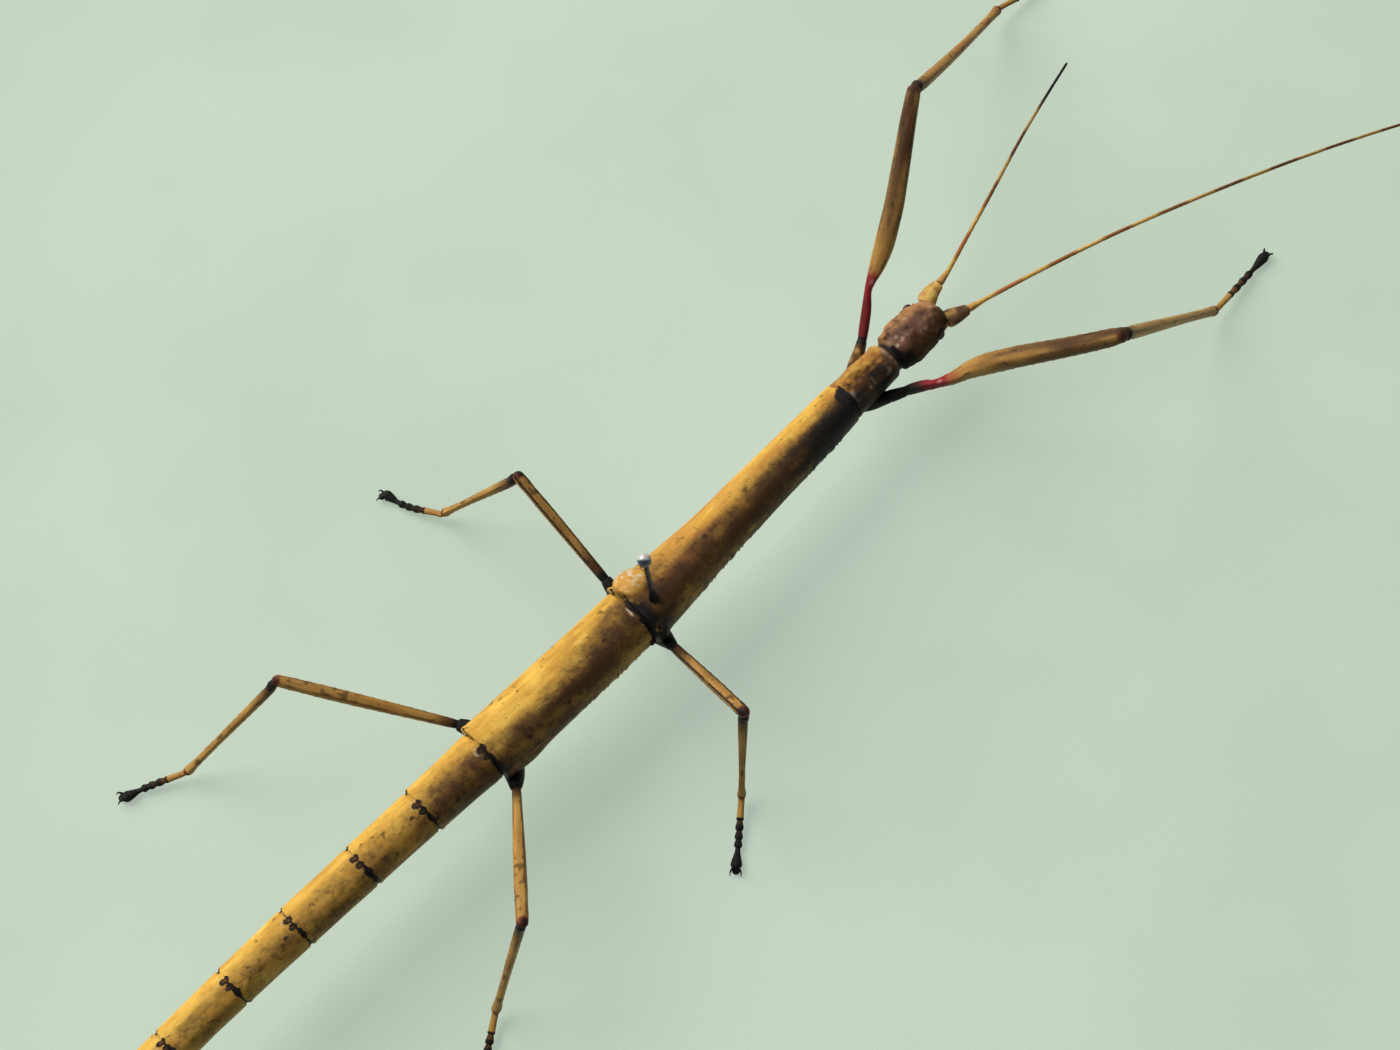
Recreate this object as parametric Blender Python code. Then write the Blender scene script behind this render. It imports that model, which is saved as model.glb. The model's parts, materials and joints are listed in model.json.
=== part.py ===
"""Giant stick insect, a dried specimen on its pin, standing on its feet at life size.

Every dimension is in millimetres until make_solid scales it to metres. +Z is up and the
head points to -Y, so the insect's left is +X. Along the body, y counts from the front of
the head to the tip of the tail.
"""

import functools
import math

import bmesh
import bpy
from mathutils import Vector

MM = 0.001
UP = Vector((0.0, 0.0, 1.0))

# Fit between neighbouring solids.
GAP = 0.28
SHORT_GAP = 0.2

# Trunk: the level of its axis, and how it bows to the right and back again.
AXIS_Z = 14.0
TAIL_DROP = 1.2
BOW = 1.05
BOW_AT = 70.0
BOW_SPREAD = 34.0
TAIL_SWING = 0.7
FORE_SWING = 0.3
SECTION_POWER = 2.25
DORSAL_SHARE = 0.52

# Trunk pieces: front y, rear y, width at front, middle and rear, height at front and rear.
PROTHORAX = (11.75, 22.0, 6.1, 6.4, 6.7, 5.8, 6.2)
MESOTHORAX = (22.0, 70.0, 7.1, 8.1, 8.7, 6.6, 8.4)
METATHORAX = (70.0, 100.0, 9.7, 9.95, 10.0, 8.5, 8.3)
MEDIAN_SEGMENT = (100.0, 111.9, 8.3, 7.8, 7.7, 7.5, 7.1)
ABDOMEN_LENGTHS = (11.4, 12.3, 11.6, 11.4, 11.2, 9.6, 7.6, 5.6, 5.0)
ABDOMEN_WIDTHS = (7.4, 7.1, 6.8, 6.4, 6.1, 5.8, 5.3, 4.6, 3.9, 3.1)
FLATNESS = 0.89
RIM_RISE = 0.2
RIM_SPREAD = 0.8
EDGE_ROUND = 0.45

# Swellings of the trunk over the leg sockets.
FORE_SOCKET_Y = 17.0
FORE_PLEURA = 0.35
MID_FLARE = 0.8
MID_PLEURA = 0.25
MID_HUMP_Y = 66.6
MID_HUMP = 0.45

# Head.
HEAD_LENGTH = 11.05
HEAD_WIDTH = 7.85
HEAD_FRONT_WIDTH = 4.0
HEAD_NARROWING = 0.5
HEAD_WIDEST_Y = 6.3
HEAD_TOP = 3.1
HEAD_UNDER = 2.9
HEAD_Z = 14.3
HEAD_X = 0.12
HEAD_POWER = 2.6
BROW_LENGTH = 2.4
NAPE_ROUND = 1.2
EYE_Y = 3.4
EYE_X = 3.4
EYE_Z = 15.0
EYE_RADII = (0.72, 0.92, 0.86)
NECK_RADII = (2.5, 2.2)

# Antennae.
SCAPE_LENGTH = 4.0
SCAPE_WIDTH = 2.6
SCAPE_HEIGHT = 1.6
PEDICEL_WIDTH = 1.45
FLAGELLUM_WIDTH = 1.0
ANTENNA_TIP_WIDTH = 0.5
WHIP_SPANS = 11

# Legs: the socket's level on the flank, and the sizes shared by each pair.
SOCKET_Z = 11.2
COXA_LENGTH = 2.5
COXA_WIDTH = 2.8
TROCHANTER_WIDTH = 1.9
HIP_GAP = {"fore": 1.12, "mid": 0.4, "hind": 0.4}
FORE_HIP_X = 4.7
FORE_HIP_SHIFT = 0.6
FORE_COXA_LENGTH = 6.0
FORE_COXA_WIDTH = 2.5
FORE_COXA_REAR_X = 2.7
FORE_HIP_WIDTH = 1.65
FORE_BOW = {1: 0.65, -1: -0.4}
FORE_BOW_SPREAD = {1: 0.24, -1: 0.4}
KNEE_WIDTH = {"fore": 2.5, "mid": 2.25, "hind": 2.25}
FEMUR_LENGTH = {"fore": 41.6, "mid": 23.45, "hind": 30.0}
TIBIA_LENGTH = {"fore": 49.6, "mid": 22.4, "hind": 26.6}
TIBIA_WIDTH = {"fore": 1.95, "mid": 1.9, "hind": 1.7}
TIBIA_THIN = {"fore": 1.45, "mid": 1.15, "hind": 1.25}
TARSUS_LENGTH = {"fore": 15.0, "mid": 10.3, "hind": 9.6}
ANKLE_ROOM = 0.35
TARSUS_WIDTH = 1.1
FOOT_WIDTH = 1.75
TOE_Z = 0.67
CLAW_SPREAD = 0.72
CLAW_REACH = 1.05

# Pose of each leg: pair, side (+1 left), socket y, femur azimuth and lift, tibia azimuth,
# ankle height, azimuth and turn of the tarsus. Azimuths go from +X towards +Y.
LEGS = {
    "fore_left": ("fore", 1, 12.3, -60.1, 27.2, -72.1, 3.0, -96.0, 0.0),
    "fore_right": ("fore", -1, 14.0, 212.5, 42.1, -88.8, 2.8, -87.0, 1.0),
    "mid_left": ("mid", 1, 68.4, -4.2, 18.8, 35.4, 1.7, 43.0, -38.0),
    "mid_right": ("mid", -1, 68.6, 170.8, 31.0, 127.4, 1.7, 130.0, -2.0),
    "hind_left": ("hind", 1, 97.5, 34.1, 16.9, 68.2, 1.7, 54.0, 18.0),
    "hind_right": ("hind", -1, 98.4, 142.0, 30.7, 91.4, 1.7, 123.0, 0.0),
}

# Pin.
PIN_X = -2.75
PIN_Y = 66.9
PIN_DIAMETER = 0.62
PIN_HOLE = 1.15
PIN_TIP_Z = 0.35
PIN_HEAD_Z = 34.0
PIN_HEAD_DIAMETER = 1.65

STRAW = ((0.56, 0.35, 0.11), 0.55)
OCHRE = ((0.45, 0.24, 0.07), 0.6)
UMBER = ((0.2, 0.12, 0.08), 0.75)
BONE_YELLOW = ((0.62, 0.42, 0.12), 0.5)
CRIMSON_BROWN = ((0.35, 0.14, 0.05), 0.5)
SOOT = ((0.02, 0.017, 0.015), 0.5)
EYE_BLACK = ((0.012, 0.01, 0.01), 0.15)
STEEL = ((0.06, 0.06, 0.07), 0.35)
PEARL = ((0.72, 0.7, 0.66), 0.2)


def clear_scene():
    for obj in list(bpy.data.objects):
        bpy.data.objects.remove(obj, do_unlink=True)


def material(name, look, metallic=0.0):
    colour, roughness = look
    made = bpy.data.materials.new(name)
    made.use_nodes = True
    shader = made.node_tree.nodes["Principled BSDF"]
    shader.inputs["Base Color"].default_value = (*colour, 1.0)
    shader.inputs["Roughness"].default_value = roughness
    shader.inputs["Metallic"].default_value = metallic
    return made


def ramp(low, high, value):
    """0 below low, 1 above high, smooth between."""
    t = min(1.0, max(0.0, (value - low) / (high - low)))
    return t * t * (3.0 - 2.0 * t)


def mix(a, b, t):
    return a + (b - a) * t


def bump(value, centre, spread):
    return math.exp(-(((value - centre) / spread) ** 2))


def signed_power(value, power):
    return math.copysign(abs(value) ** power, value)


def heading(azimuth, lift):
    a = math.radians(azimuth)
    e = math.radians(lift)
    return Vector((math.cos(a) * math.cos(e), math.sin(a) * math.cos(e), math.sin(e)))


def turn_outward(mesh):
    shell = bmesh.new()
    shell.from_mesh(mesh)
    bmesh.ops.recalc_face_normals(shell, faces=shell.faces)
    shell.to_mesh(mesh)
    shell.free()


def make_solid(name, rings, look, metallic=0.0):
    """A closed solid from equal rings, with a fan to the middle of each end ring."""
    points = [point * MM for ring in rings for point in ring]
    count = len(rings[0])
    faces = []
    for r in range(len(rings) - 1):
        for i in range(count):
            j = (i + 1) % count
            low = r * count
            faces.append((low + i, low + j, low + count + j, low + count + i))
    first = len(points)
    points.append(sum(points[:count], Vector()) / count)
    points.append(sum(points[first - count : first], Vector()) / count)
    last = first - count
    for i in range(count):
        j = (i + 1) % count
        faces.append((j, i, first))
        faces.append((last + i, last + j, first + 1))
    mesh = bpy.data.meshes.new(name)
    mesh.from_pydata(points, [], faces)
    turn_outward(mesh)
    mesh.shade_smooth()
    mesh.set_sharp_from_angle(angle=math.radians(50.0))
    mesh.materials.append(material(name, look, metallic))
    obj = bpy.data.objects.new(name, mesh)
    bpy.context.scene.collection.objects.link(obj)
    return obj


def trunk_x(y):
    bow = -BOW * bump(y, BOW_AT, BOW_SPREAD) + FORE_SWING * bump(y, FORE_SOCKET_Y, 8.0)
    return bow + TAIL_SWING * ramp(100.0, 150.0, y)


def trunk_z(y):
    return AXIS_Z - TAIL_DROP * ramp(150.0, 197.0, y)


def piece_size(piece, y):
    """Half width and height of a trunk piece at y, without its rounded edges."""
    front, rear, width_a, width_b, width_c, height_a, height_c = piece
    t = (y - front) / (rear - front)
    curve = width_a * (1 - t) * (1 - 2 * t) + 4 * width_b * t * (1 - t) + width_c * t * (2 * t - 1)
    half = 0.5 * curve + 0.5 * RIM_RISE * bump(y, rear - 1.1, RIM_SPREAD)
    height = mix(height_a, height_c, t) + 0.6 * RIM_RISE * bump(y, rear - 1.1, RIM_SPREAD)
    return half, height


def swelling(piece, y):
    """Extra half width at the sockets, and extra height of the back above the middle legs."""
    if piece is PROTHORAX:
        return FORE_PLEURA * bump(y, FORE_SOCKET_Y, 2.6), 0.0
    if piece is MESOTHORAX:
        flare = MID_FLARE * ramp(50.0, 67.0, y) + MID_PLEURA * bump(y, MID_HUMP_Y, 2.2)
        return flare, MID_HUMP * bump(y, MID_HUMP_Y, 2.6)
    return 0.0, 0.0


def trunk_ring(piece, y, inset, sides):
    """The outline of a trunk piece at y, drawn in by inset."""
    half, height = piece_size(piece, y)
    pleura, hump = swelling(piece, y)
    ring = []
    for i in range(sides):
        angle = 2.0 * math.pi * i / sides
        across = signed_power(math.cos(angle), 2.0 / SECTION_POWER)
        upward = signed_power(math.sin(angle), 2.0 / SECTION_POWER)
        low = ramp(-0.35, 0.35, -upward) if piece is PROTHORAX else 1.0
        reach = half + pleura * low - inset
        if upward > 0.0:
            rise = height * DORSAL_SHARE + hump - inset
        else:
            rise = height * (1.0 - DORSAL_SHARE) - inset
        ring.append(Vector((trunk_x(y) + reach * across, y, trunk_z(y) + rise * upward)))
    return ring


def clear_of_trunk(piece, point, extra=0.0):
    """Whether a point is outside a trunk piece by at least the gap and some more."""
    room = GAP + extra
    y = min(piece[1], max(piece[0], point.y))
    half, height = piece_size(piece, y)
    pleura, hump = swelling(piece, y)
    across = abs(point.x - trunk_x(y)) / (half + pleura + room)
    offset = point.z - trunk_z(y)
    share = DORSAL_SHARE if offset > 0.0 else 1.0 - DORSAL_SHARE
    upward = abs(offset) / (height * share + hump + room)
    return across**SECTION_POWER + upward**SECTION_POWER > 1.0


def trunk_piece(name, piece, look, sides, spans):
    """A length of trunk with bevelled edges and a low rim before its rear edge."""
    front = piece[0] + GAP / 2
    rear = piece[1] - GAP / 2
    start = front + EDGE_ROUND
    stop = rear - 2.2
    stations = [(front, 0.7 * EDGE_ROUND), (start, 0.0)]
    stations += [(mix(start, stop, k / spans), 0.0) for k in range(1, spans + 1)]
    stations += [(rear - 1.1, 0.0), (rear - EDGE_ROUND, 0.0), (rear, 0.7 * EDGE_ROUND)]
    rings = [trunk_ring(piece, y, inset, sides) for y, inset in stations]
    return make_solid(name, rings, look)


def abdomen_pieces():
    """Abdominal segments 2 to 10, each narrowing from the one before it."""
    front = MEDIAN_SEGMENT[1]
    for k, length in enumerate(ABDOMEN_LENGTHS):
        wide = ABDOMEN_WIDTHS[k]
        narrow = ABDOMEN_WIDTHS[k + 1]
        middle = 0.5 * (wide + narrow) - 0.12
        piece = (front, front + length, wide, middle, narrow, wide * FLATNESS, narrow * FLATNESS)
        spans = 2 if length > 7.0 else 1
        trunk_piece(f"abdomen_{k + 2}", piece, STRAW, 14, spans)
        front += length
    return front


def head_half_width(y):
    """Half the head's width at y: a blunt brow, bulging cheeks and a rounded nape."""
    full = 0.5 * (HEAD_WIDTH - HEAD_NARROWING * (1.0 - bump(y, HEAD_WIDEST_Y, 2.6)))
    if y < BROW_LENGTH:
        bend = math.sqrt(max(0.0, 1.0 - (1.0 - y / BROW_LENGTH) ** 2))
        return mix(0.5 * HEAD_FRONT_WIDTH, full, bend)
    start = HEAD_LENGTH - NAPE_ROUND
    if y > start:
        bend = math.sqrt(max(0.0, 1.0 - ((y - start) / NAPE_ROUND) ** 2))
        return mix(0.68 * full, full, bend)
    return full


def head_heights(y):
    """Rise above and drop below the head's axis: the brow and the nape are rounded."""
    front = math.sqrt(max(0.0, 1.0 - max(0.0, 1.0 - y / (1.6 * BROW_LENGTH)) ** 2))
    back = math.sqrt(max(0.0, 1.0 - max(0.0, (y - HEAD_LENGTH + NAPE_ROUND) / NAPE_ROUND) ** 2))
    end = min(front, back)
    return HEAD_TOP * mix(0.5, 1.0, end), HEAD_UNDER * mix(0.55, 1.0, end)


def head_ring(y, sides):
    half = head_half_width(y)
    rise, drop = head_heights(y)
    ring = []
    for i in range(sides):
        angle = 2.0 * math.pi * i / sides
        across = signed_power(math.cos(angle), 2.0 / HEAD_POWER)
        upward = signed_power(math.sin(angle), 2.0 / HEAD_POWER)
        height = rise if upward > 0.0 else drop
        ring.append(Vector((HEAD_X + half * across, y, HEAD_Z + height * upward)))
    return ring


def clear_of_head(point, extra):
    """Whether a point is outside the head by at least the short gap and some more."""
    room = SHORT_GAP + extra
    if point.y < -room:
        return True
    y = min(HEAD_LENGTH, max(0.0, point.y))
    rise, drop = head_heights(y)
    across = abs(point.x - HEAD_X) / (head_half_width(y) + room)
    height = rise if point.z > HEAD_Z else drop
    upward = abs(point.z - HEAD_Z) / (height + room)
    return across**HEAD_POWER + upward**HEAD_POWER > 1.0


def eye_centre(side):
    return Vector((HEAD_X + side * EYE_X, EYE_Y, EYE_Z))


def ellipsoid_rings(centre, radii, sides, rows, axis="X"):
    """Rings of an ellipsoid, stacked along its axis."""
    rings = []
    for r in range(rows):
        tilt = math.pi * (r + 0.5) / rows
        along = -math.cos(tilt)
        around = math.sin(tilt)
        ring = []
        for i in range(sides):
            angle = 2.0 * math.pi * i / sides
            flat = (along, around * math.cos(angle), around * math.sin(angle))
            if axis == "Z":
                flat = (around * math.cos(angle), around * math.sin(angle), along)
            ring.append(centre + Vector(v * radius for v, radius in zip(flat, radii)))
        rings.append(ring)
    return rings


def cut(target, cutter):
    """Takes the cutter out of the target, and keeps the cutter as a hidden helper."""
    cutter.hide_render = True
    cutter.display_type = "WIRE"
    step = target.modifiers.new(cutter.name, "BOOLEAN")
    step.operation = "DIFFERENCE"
    step.solver = "EXACT"
    step.object = cutter


def head_parts():
    """The head with its eyes in sockets, and the neck behind it."""
    stations = [0.0, 0.25, 0.8, 1.6, 2.6, 4.2, 6.0, 7.8, 9.2, 10.1, 10.7, HEAD_LENGTH]
    head = make_solid("head", [head_ring(y, 22) for y in stations], UMBER)
    for side, label in ((1, "left"), (-1, "right")):
        centre = eye_centre(side)
        make_solid(f"eye_{label}", ellipsoid_rings(centre, EYE_RADII, 12, 6), EYE_BLACK)
        room = [radius + SHORT_GAP for radius in EYE_RADII]
        socket = make_solid(f"socket_{label}", ellipsoid_rings(centre, room, 12, 6), SOOT)
        cut(head, socket)
    front = HEAD_LENGTH + SHORT_GAP
    rear = PROTHORAX[0] + GAP / 2 - SHORT_GAP
    rings = []
    for y, share in ((front, 0.94), (front + 0.1, 1.0), (rear - 0.1, 1.0), (rear, 0.94)):
        middle = Vector((0.0, y, AXIS_Z))
        rings.append(plain_ring(middle, Vector((0, 1, 0)), UP, NECK_RADII, share, 16))
    make_solid("neck", rings, SOOT)


def plain_ring(middle, along, top, radii, share, sides, turn=0.0):
    """An elliptical ring across a direction, its first radius to the side of it."""
    along = along.normalized()
    side = along.cross(top).normalized()
    rise = side.cross(along)
    ring = []
    for i in range(sides):
        angle = -2.0 * math.pi * (i + turn) / sides
        offset = side * (radii[0] * math.cos(angle)) + rise * (radii[1] * math.sin(angle))
        ring.append(middle + offset * share)
    return ring


def tube(name, path, radii, look, sides=8, top=UP, seat=None, outward=None, floor=False):
    """A solid along a path. Each station has a side radius and a rise radius. With seat, its
    points back away outward until they are clear. With floor, it gets a flat underside where
    it would dip below the floor."""
    rings = []
    for k, middle in enumerate(path):
        ahead = path[min(k + 1, len(path) - 1)]
        behind = path[max(k - 1, 0)]
        turn = 0.5 if floor else 0.0
        rings.append(plain_ring(middle, ahead - behind, top, radii[k], 1.0, sides, turn))
    if seat:
        for k, ring in enumerate(rings):
            rings[k] = [lift_clear(point, outward, seat, min(0.3, 0.1 * k)) for point in ring]
    if floor:
        for ring in rings:
            for point in ring:
                point.z = max(0.0, point.z)
    return make_solid(name, rings, look)


def lift_clear(point, outward, clear, room):
    """Backs a point away from its neighbour until it is clear of it."""
    moved = point.copy()
    while not clear(moved, room):
        moved += outward * 0.04
    return moved


def rounded(path, radii, end_radius, steps=2):
    """Adds a dome beyond the last station of a path."""
    along = (path[-1] - path[-2]).normalized()
    start = path[-1]
    for k in range(1, steps + 1):
        tilt = 0.5 * math.pi * k / (steps + 0.6)
        path.append(start + along * (end_radius * math.sin(tilt)))
        radii.append((end_radius * math.cos(tilt),) * 2)


def mouth_parts():
    """Upper lip and jaws under the brow, with a palp on either side."""
    path = []
    radii = []
    for k in range(6):
        t = k / 5
        path.append(Vector((HEAD_X, mix(-0.35, -1.75, t), mix(13.1, 10.6, t))))
        swell = math.sin(math.pi * (0.2 + 0.62 * t))
        radii.append((1.75 * swell, 0.95 * swell))
    tube("jaws", path, radii, UMBER, 10, Vector((0, 1, 0)), clear_of_head, Vector((0, -1, 0)))
    for side, label in ((1, "left"), (-1, "right")):
        path = []
        radii = []
        for k in range(7):
            t = k / 6
            x = HEAD_X + side * mix(2.2, 1.5, t)
            path.append(Vector((x, mix(0.9, -2.3, t), 10.9 - 1.6 * math.sin(math.pi * 0.6 * t))))
            radii.append((mix(0.4, 0.3, t),) * 2)
        tube(f"palp_{label}", path, radii, BONE_YELLOW, 6)


def antenna(label, base, turns, lifts, length):
    """Broad scape, short pedicel and a tapering whip along a path of changing heading."""
    stations = [0.0, 0.4, 1.2, 2.6, 3.4, 4.0, 4.25, 5.3, 5.6, 7.0]
    stations += [mix(7.0, length, k / WHIP_SPANS) for k in range(1, WHIP_SPANS + 1)]
    path = [base.copy()]
    for before, after in zip(stations, stations[1:]):
        t = 0.5 * (before + after) / length
        azimuth = turns[0] + turns[1] * t + turns[2] * ramp(0.0, 0.12, t)
        lift = lifts[0] + lifts[1] * t
        path.append(path[-1] + heading(azimuth, lift) * (after - before))
    radii = [antenna_radii(at, length) for at in stations]
    name = f"antenna_{label}"
    tube(name, path, radii, BONE_YELLOW, 7, UP, clear_of_head, Vector((0, -1, 0)))


def antenna_radii(at, length):
    """Half width and half height of an antenna at a distance from its base."""
    if at < 4.1:
        swell = 0.7 + 0.3 * math.sin(math.pi * min(1.0, at / SCAPE_LENGTH) ** 0.75)
        return 0.5 * SCAPE_WIDTH * swell, 0.5 * SCAPE_HEIGHT * swell
    if at < 5.4:
        return (0.5 * PEDICEL_WIDTH,) * 2
    t = (at - 5.4) / (length - 5.4)
    return (0.5 * mix(FLAGELLUM_WIDTH, ANTENNA_TIP_WIDTH, t**0.6),) * 2


def socket_point(piece, side, y):
    """The middle of a leg socket on the flank of its trunk piece."""
    point = Vector((trunk_x(y), y, SOCKET_Z))
    while not clear_of_trunk(piece, point):
        point.x += side * 0.02
    return point


def leg(label, pose):
    """One leg, from its socket to its claws."""
    pair, side, y, azimuth, lift, tibia_azimuth, ankle_z, tarsus_azimuth, tarsus_turn = pose
    along = heading(azimuth, lift)
    if pair == "fore":
        start = Vector((FORE_HIP_SHIFT + side * FORE_HIP_X, y, SOCKET_Z))
        hip = start
        coxa_fore(label, side, hip)
    else:
        piece = MESOTHORAX if pair == "mid" else METATHORAX
        start = socket_point(piece, side, y)
        hip = start + along * COXA_LENGTH
        coxa(label, piece, side, start, hip)
    knee = start + along * FEMUR_LENGTH[pair]
    femur_solid(label, pair, side, hip + along * HIP_GAP[pair], knee)
    drop = math.degrees(math.asin((ankle_z - knee.z) / TIBIA_LENGTH[pair]))
    shin = heading(tibia_azimuth, drop)
    ankle = knee + shin * TIBIA_LENGTH[pair]
    tibia_solid(label, pair, knee, shin, ankle)
    tarsus_solid(label, pair, ankle, tarsus_azimuth, tarsus_turn)


def coxa_fore(label, side, hip):
    """Fore coxae lie along the flanks of the prothorax and point forward."""
    rear = trunk_x(hip.y + FORE_COXA_LENGTH) + side * FORE_COXA_REAR_X
    path = []
    radii = []
    for t in (0.0, 0.12, 0.35, 0.65, 1.0):
        inset = (rear - hip.x) * (1.0 - t) ** 1.5
        path.append(hip + Vector((inset, FORE_COXA_LENGTH * (1.0 - t), -0.5 * (1.0 - t))))
        swell = FORE_COXA_WIDTH * math.sin(math.pi * mix(0.2, 0.7, t))
        width = mix(swell, FORE_HIP_WIDTH, ramp(0.5, 1.0, t))
        radii.append((0.5 * width, 0.5 * width))
    rounded(path, radii, 0.5 * FORE_HIP_WIDTH)
    seat = functools.partial(clear_of_trunk, PROTHORAX)
    tube(f"coxa_{label}", path, radii, SOOT, 8, UP, seat, Vector((side, 0.0, 0.0)))


def coxa(label, piece, side, socket, hip):
    """Middle and hind coxae stand out of the flanks, each with its trochanter."""
    path = [socket.lerp(hip, t) for t in (0.0, 0.35, 0.8, 0.95, 1.0)]
    half = 0.5 * TROCHANTER_WIDTH
    sizes = (0.5 * COXA_WIDTH, 0.5 * COXA_WIDTH, half, 0.9 * half, 0.7 * half)
    radii = [(size, size) for size in sizes]
    seat = functools.partial(clear_of_trunk, piece)
    tube(f"coxa_{label}", path, radii, SOOT, 8, UP, seat, Vector((side, 0.0, 0.0)))


def femur_size(pair, t):
    """Side width and rise width of a femur at t from hip to knee."""
    if pair == "fore":
        blade = ramp(0.21, 0.4, t) - 0.42 * ramp(0.46, 1.0, t)
        return mix(1.7, 3.3, blade), mix(1.65, 2.9, blade)
    low = 1.7 if pair == "hind" else 1.75
    swell = mix(low, 2.35 if pair == "hind" else 2.1, ramp(0.0, 0.7, t))
    swell -= 0.15 * ramp(0.75, 0.92, t)
    return swell, swell * 1.02


def fore_shift(side, wide, t):
    """How far a fore femur lies from its straight line, towards the head."""
    notch = 0.5 * (wide - 1.7) * (1.0 - ramp(0.5, 1.0, t))
    ends = math.sin(math.pi * t) ** 0.5
    return notch - FORE_BOW[side] * bump(t, 0.25, FORE_BOW_SPREAD[side]) * ends


def femur_solid(label, pair, side, hip, knee):
    """The thigh, with the knee's dome at its end. A fore one is thin where it passes the head."""
    along = (knee - hip).normalized()
    inward = along.cross(UP).normalized() * side
    stations = [0.0, 0.03, 0.15, 0.35, 0.55, 0.75, 0.9, 0.96, 1.0]
    if pair == "fore":
        stations = [0.0, 0.03, 0.12, 0.21, 0.27, 0.33, 0.4, 0.55, 0.72, 0.88, 0.95, 1.0]
    path = []
    radii = []
    for t in stations:
        wide, deep = femur_size(pair, t)
        shift = fore_shift(side, wide, t) if pair == "fore" else 0.0
        if t == 0.0:
            wide *= 0.75
            deep *= 0.75
        if t > 0.93:
            wide = KNEE_WIDTH[pair]
            deep = KNEE_WIDTH[pair]
        path.append(hip.lerp(knee, t) + inward * shift)
        radii.append((0.5 * wide, 0.5 * deep))
    rounded(path, radii, 0.5 * KNEE_WIDTH[pair])
    look = CRIMSON_BROWN if pair == "fore" else OCHRE
    tube(f"femur_{label}", path, radii, look, 8)


def tibia_solid(label, pair, knee, shin, ankle):
    """The shin, thinner towards the ankle, where it swells again."""
    start = knee + shin * (0.5 * KNEE_WIDTH[pair] + GAP)
    stop = ankle - shin * ANKLE_ROOM
    path = []
    radii = []
    for t in (0.0, 0.03, 0.1, 0.35, 0.65, 0.9, 0.96, 1.0):
        width = mix(TIBIA_WIDTH[pair], TIBIA_THIN[pair], ramp(0.0, 0.75, t))
        width += 0.35 * ramp(0.88, 0.97, t)
        if t in (0.0, 1.0):
            width *= 0.7
        path.append(start.lerp(stop, t))
        radii.append((0.5 * width, 0.5 * width))
    tube(f"tibia_{label}", path, radii, OCHRE, 8)


def tarsus_width(t):
    """A long first joint, three beads and a club that ends in the foot pad."""
    width = TARSUS_WIDTH
    for joint in (0.44, 0.58, 0.69, 0.8):
        width -= 0.34 * bump(t, joint, 0.018)
    width += (FOOT_WIDTH - TARSUS_WIDTH) * ramp(0.84, 0.96, t)
    return width


def tarsus_solid(label, pair, ankle, azimuth, turn):
    """The foot, from the ankle down to the floor and along it, flat where it rests."""
    length = TARSUS_LENGTH[pair]
    stations = [0.0, 0.03, 0.41, 0.44, 0.47, 0.555, 0.58, 0.605, 0.69, 0.715, 0.8, 0.92, 0.98, 1.0]
    point = Vector((ankle.x, ankle.y, 0.0)) + heading(azimuth, 0.0) * ANKLE_ROOM
    path = []
    radii = []
    before = 0.0
    for t in stations:
        forward = heading(azimuth + turn * t, 0.0)
        point = point + forward * (length * (t - before))
        before = t
        path.append(point + UP * (TOE_Z + (ankle.z - TOE_Z) * (1.0 - t) ** 1.7))
        width = tarsus_width(t) * (0.72 if t in (0.0, 1.0) else 1.0)
        radii.append((0.5 * width, 0.5 * width))
    tube(f"tarsus_{label}", path, radii, OCHRE, 8, UP, None, None, True)
    claws(label, path[-1], forward)


def claws(label, end, forward):
    """Two hooks joined across the end of the foot, drawn as one bent horn."""
    across = forward.cross(UP)
    path = []
    radii = []
    for k in range(9):
        t = -1.0 + k / 4
        reach = 0.5 + CLAW_REACH * abs(t) ** 1.6
        spread = CLAW_SPREAD * math.sin(0.5 * math.pi * t * 0.92)
        height = 0.78 + 0.35 * math.sin(math.pi * abs(t)) - 0.42 * abs(t) ** 3
        path.append(end + forward * reach + across * spread + UP * (height - end.z))
        radii.append((mix(0.28, 0.17, abs(t)),) * 2)
    tube(f"claws_{label}", path, radii, SOOT, 5, UP, None, None, True)


def tail_parts(tail_y):
    """Keel-shaped plate under the last segments, and the two short feelers of the tail."""
    last = Vector((trunk_x(tail_y), tail_y, trunk_z(tail_y)))
    path = []
    radii = []
    for k in range(8):
        t = k / 7
        y = mix(tail_y - 19.5, tail_y + 1.2, t)
        width = ABDOMEN_WIDTHS[-2] * (0.5 + 0.5 * math.sin(math.pi * mix(0.18, 0.92, t)))
        path.append(Vector((trunk_x(y), y, trunk_z(y) - mix(3.65, 2.35, t))))
        radii.append((0.4 * width, 0.42))
    tube("operculum", path, radii, STRAW, 10)
    for side, label in ((1, "left"), (-1, "right")):
        path = []
        radii = []
        for k in range(5):
            t = k / 4
            across = side * mix(0.8, 1.05, t)
            path.append(last + Vector((across, mix(0.15, 2.5, t), mix(0.2, -0.2, t))))
            radii.append((mix(0.42, 0.26, t),) * 2)
        tube(f"cercus_{label}", path, radii, OCHRE, 8)


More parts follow.
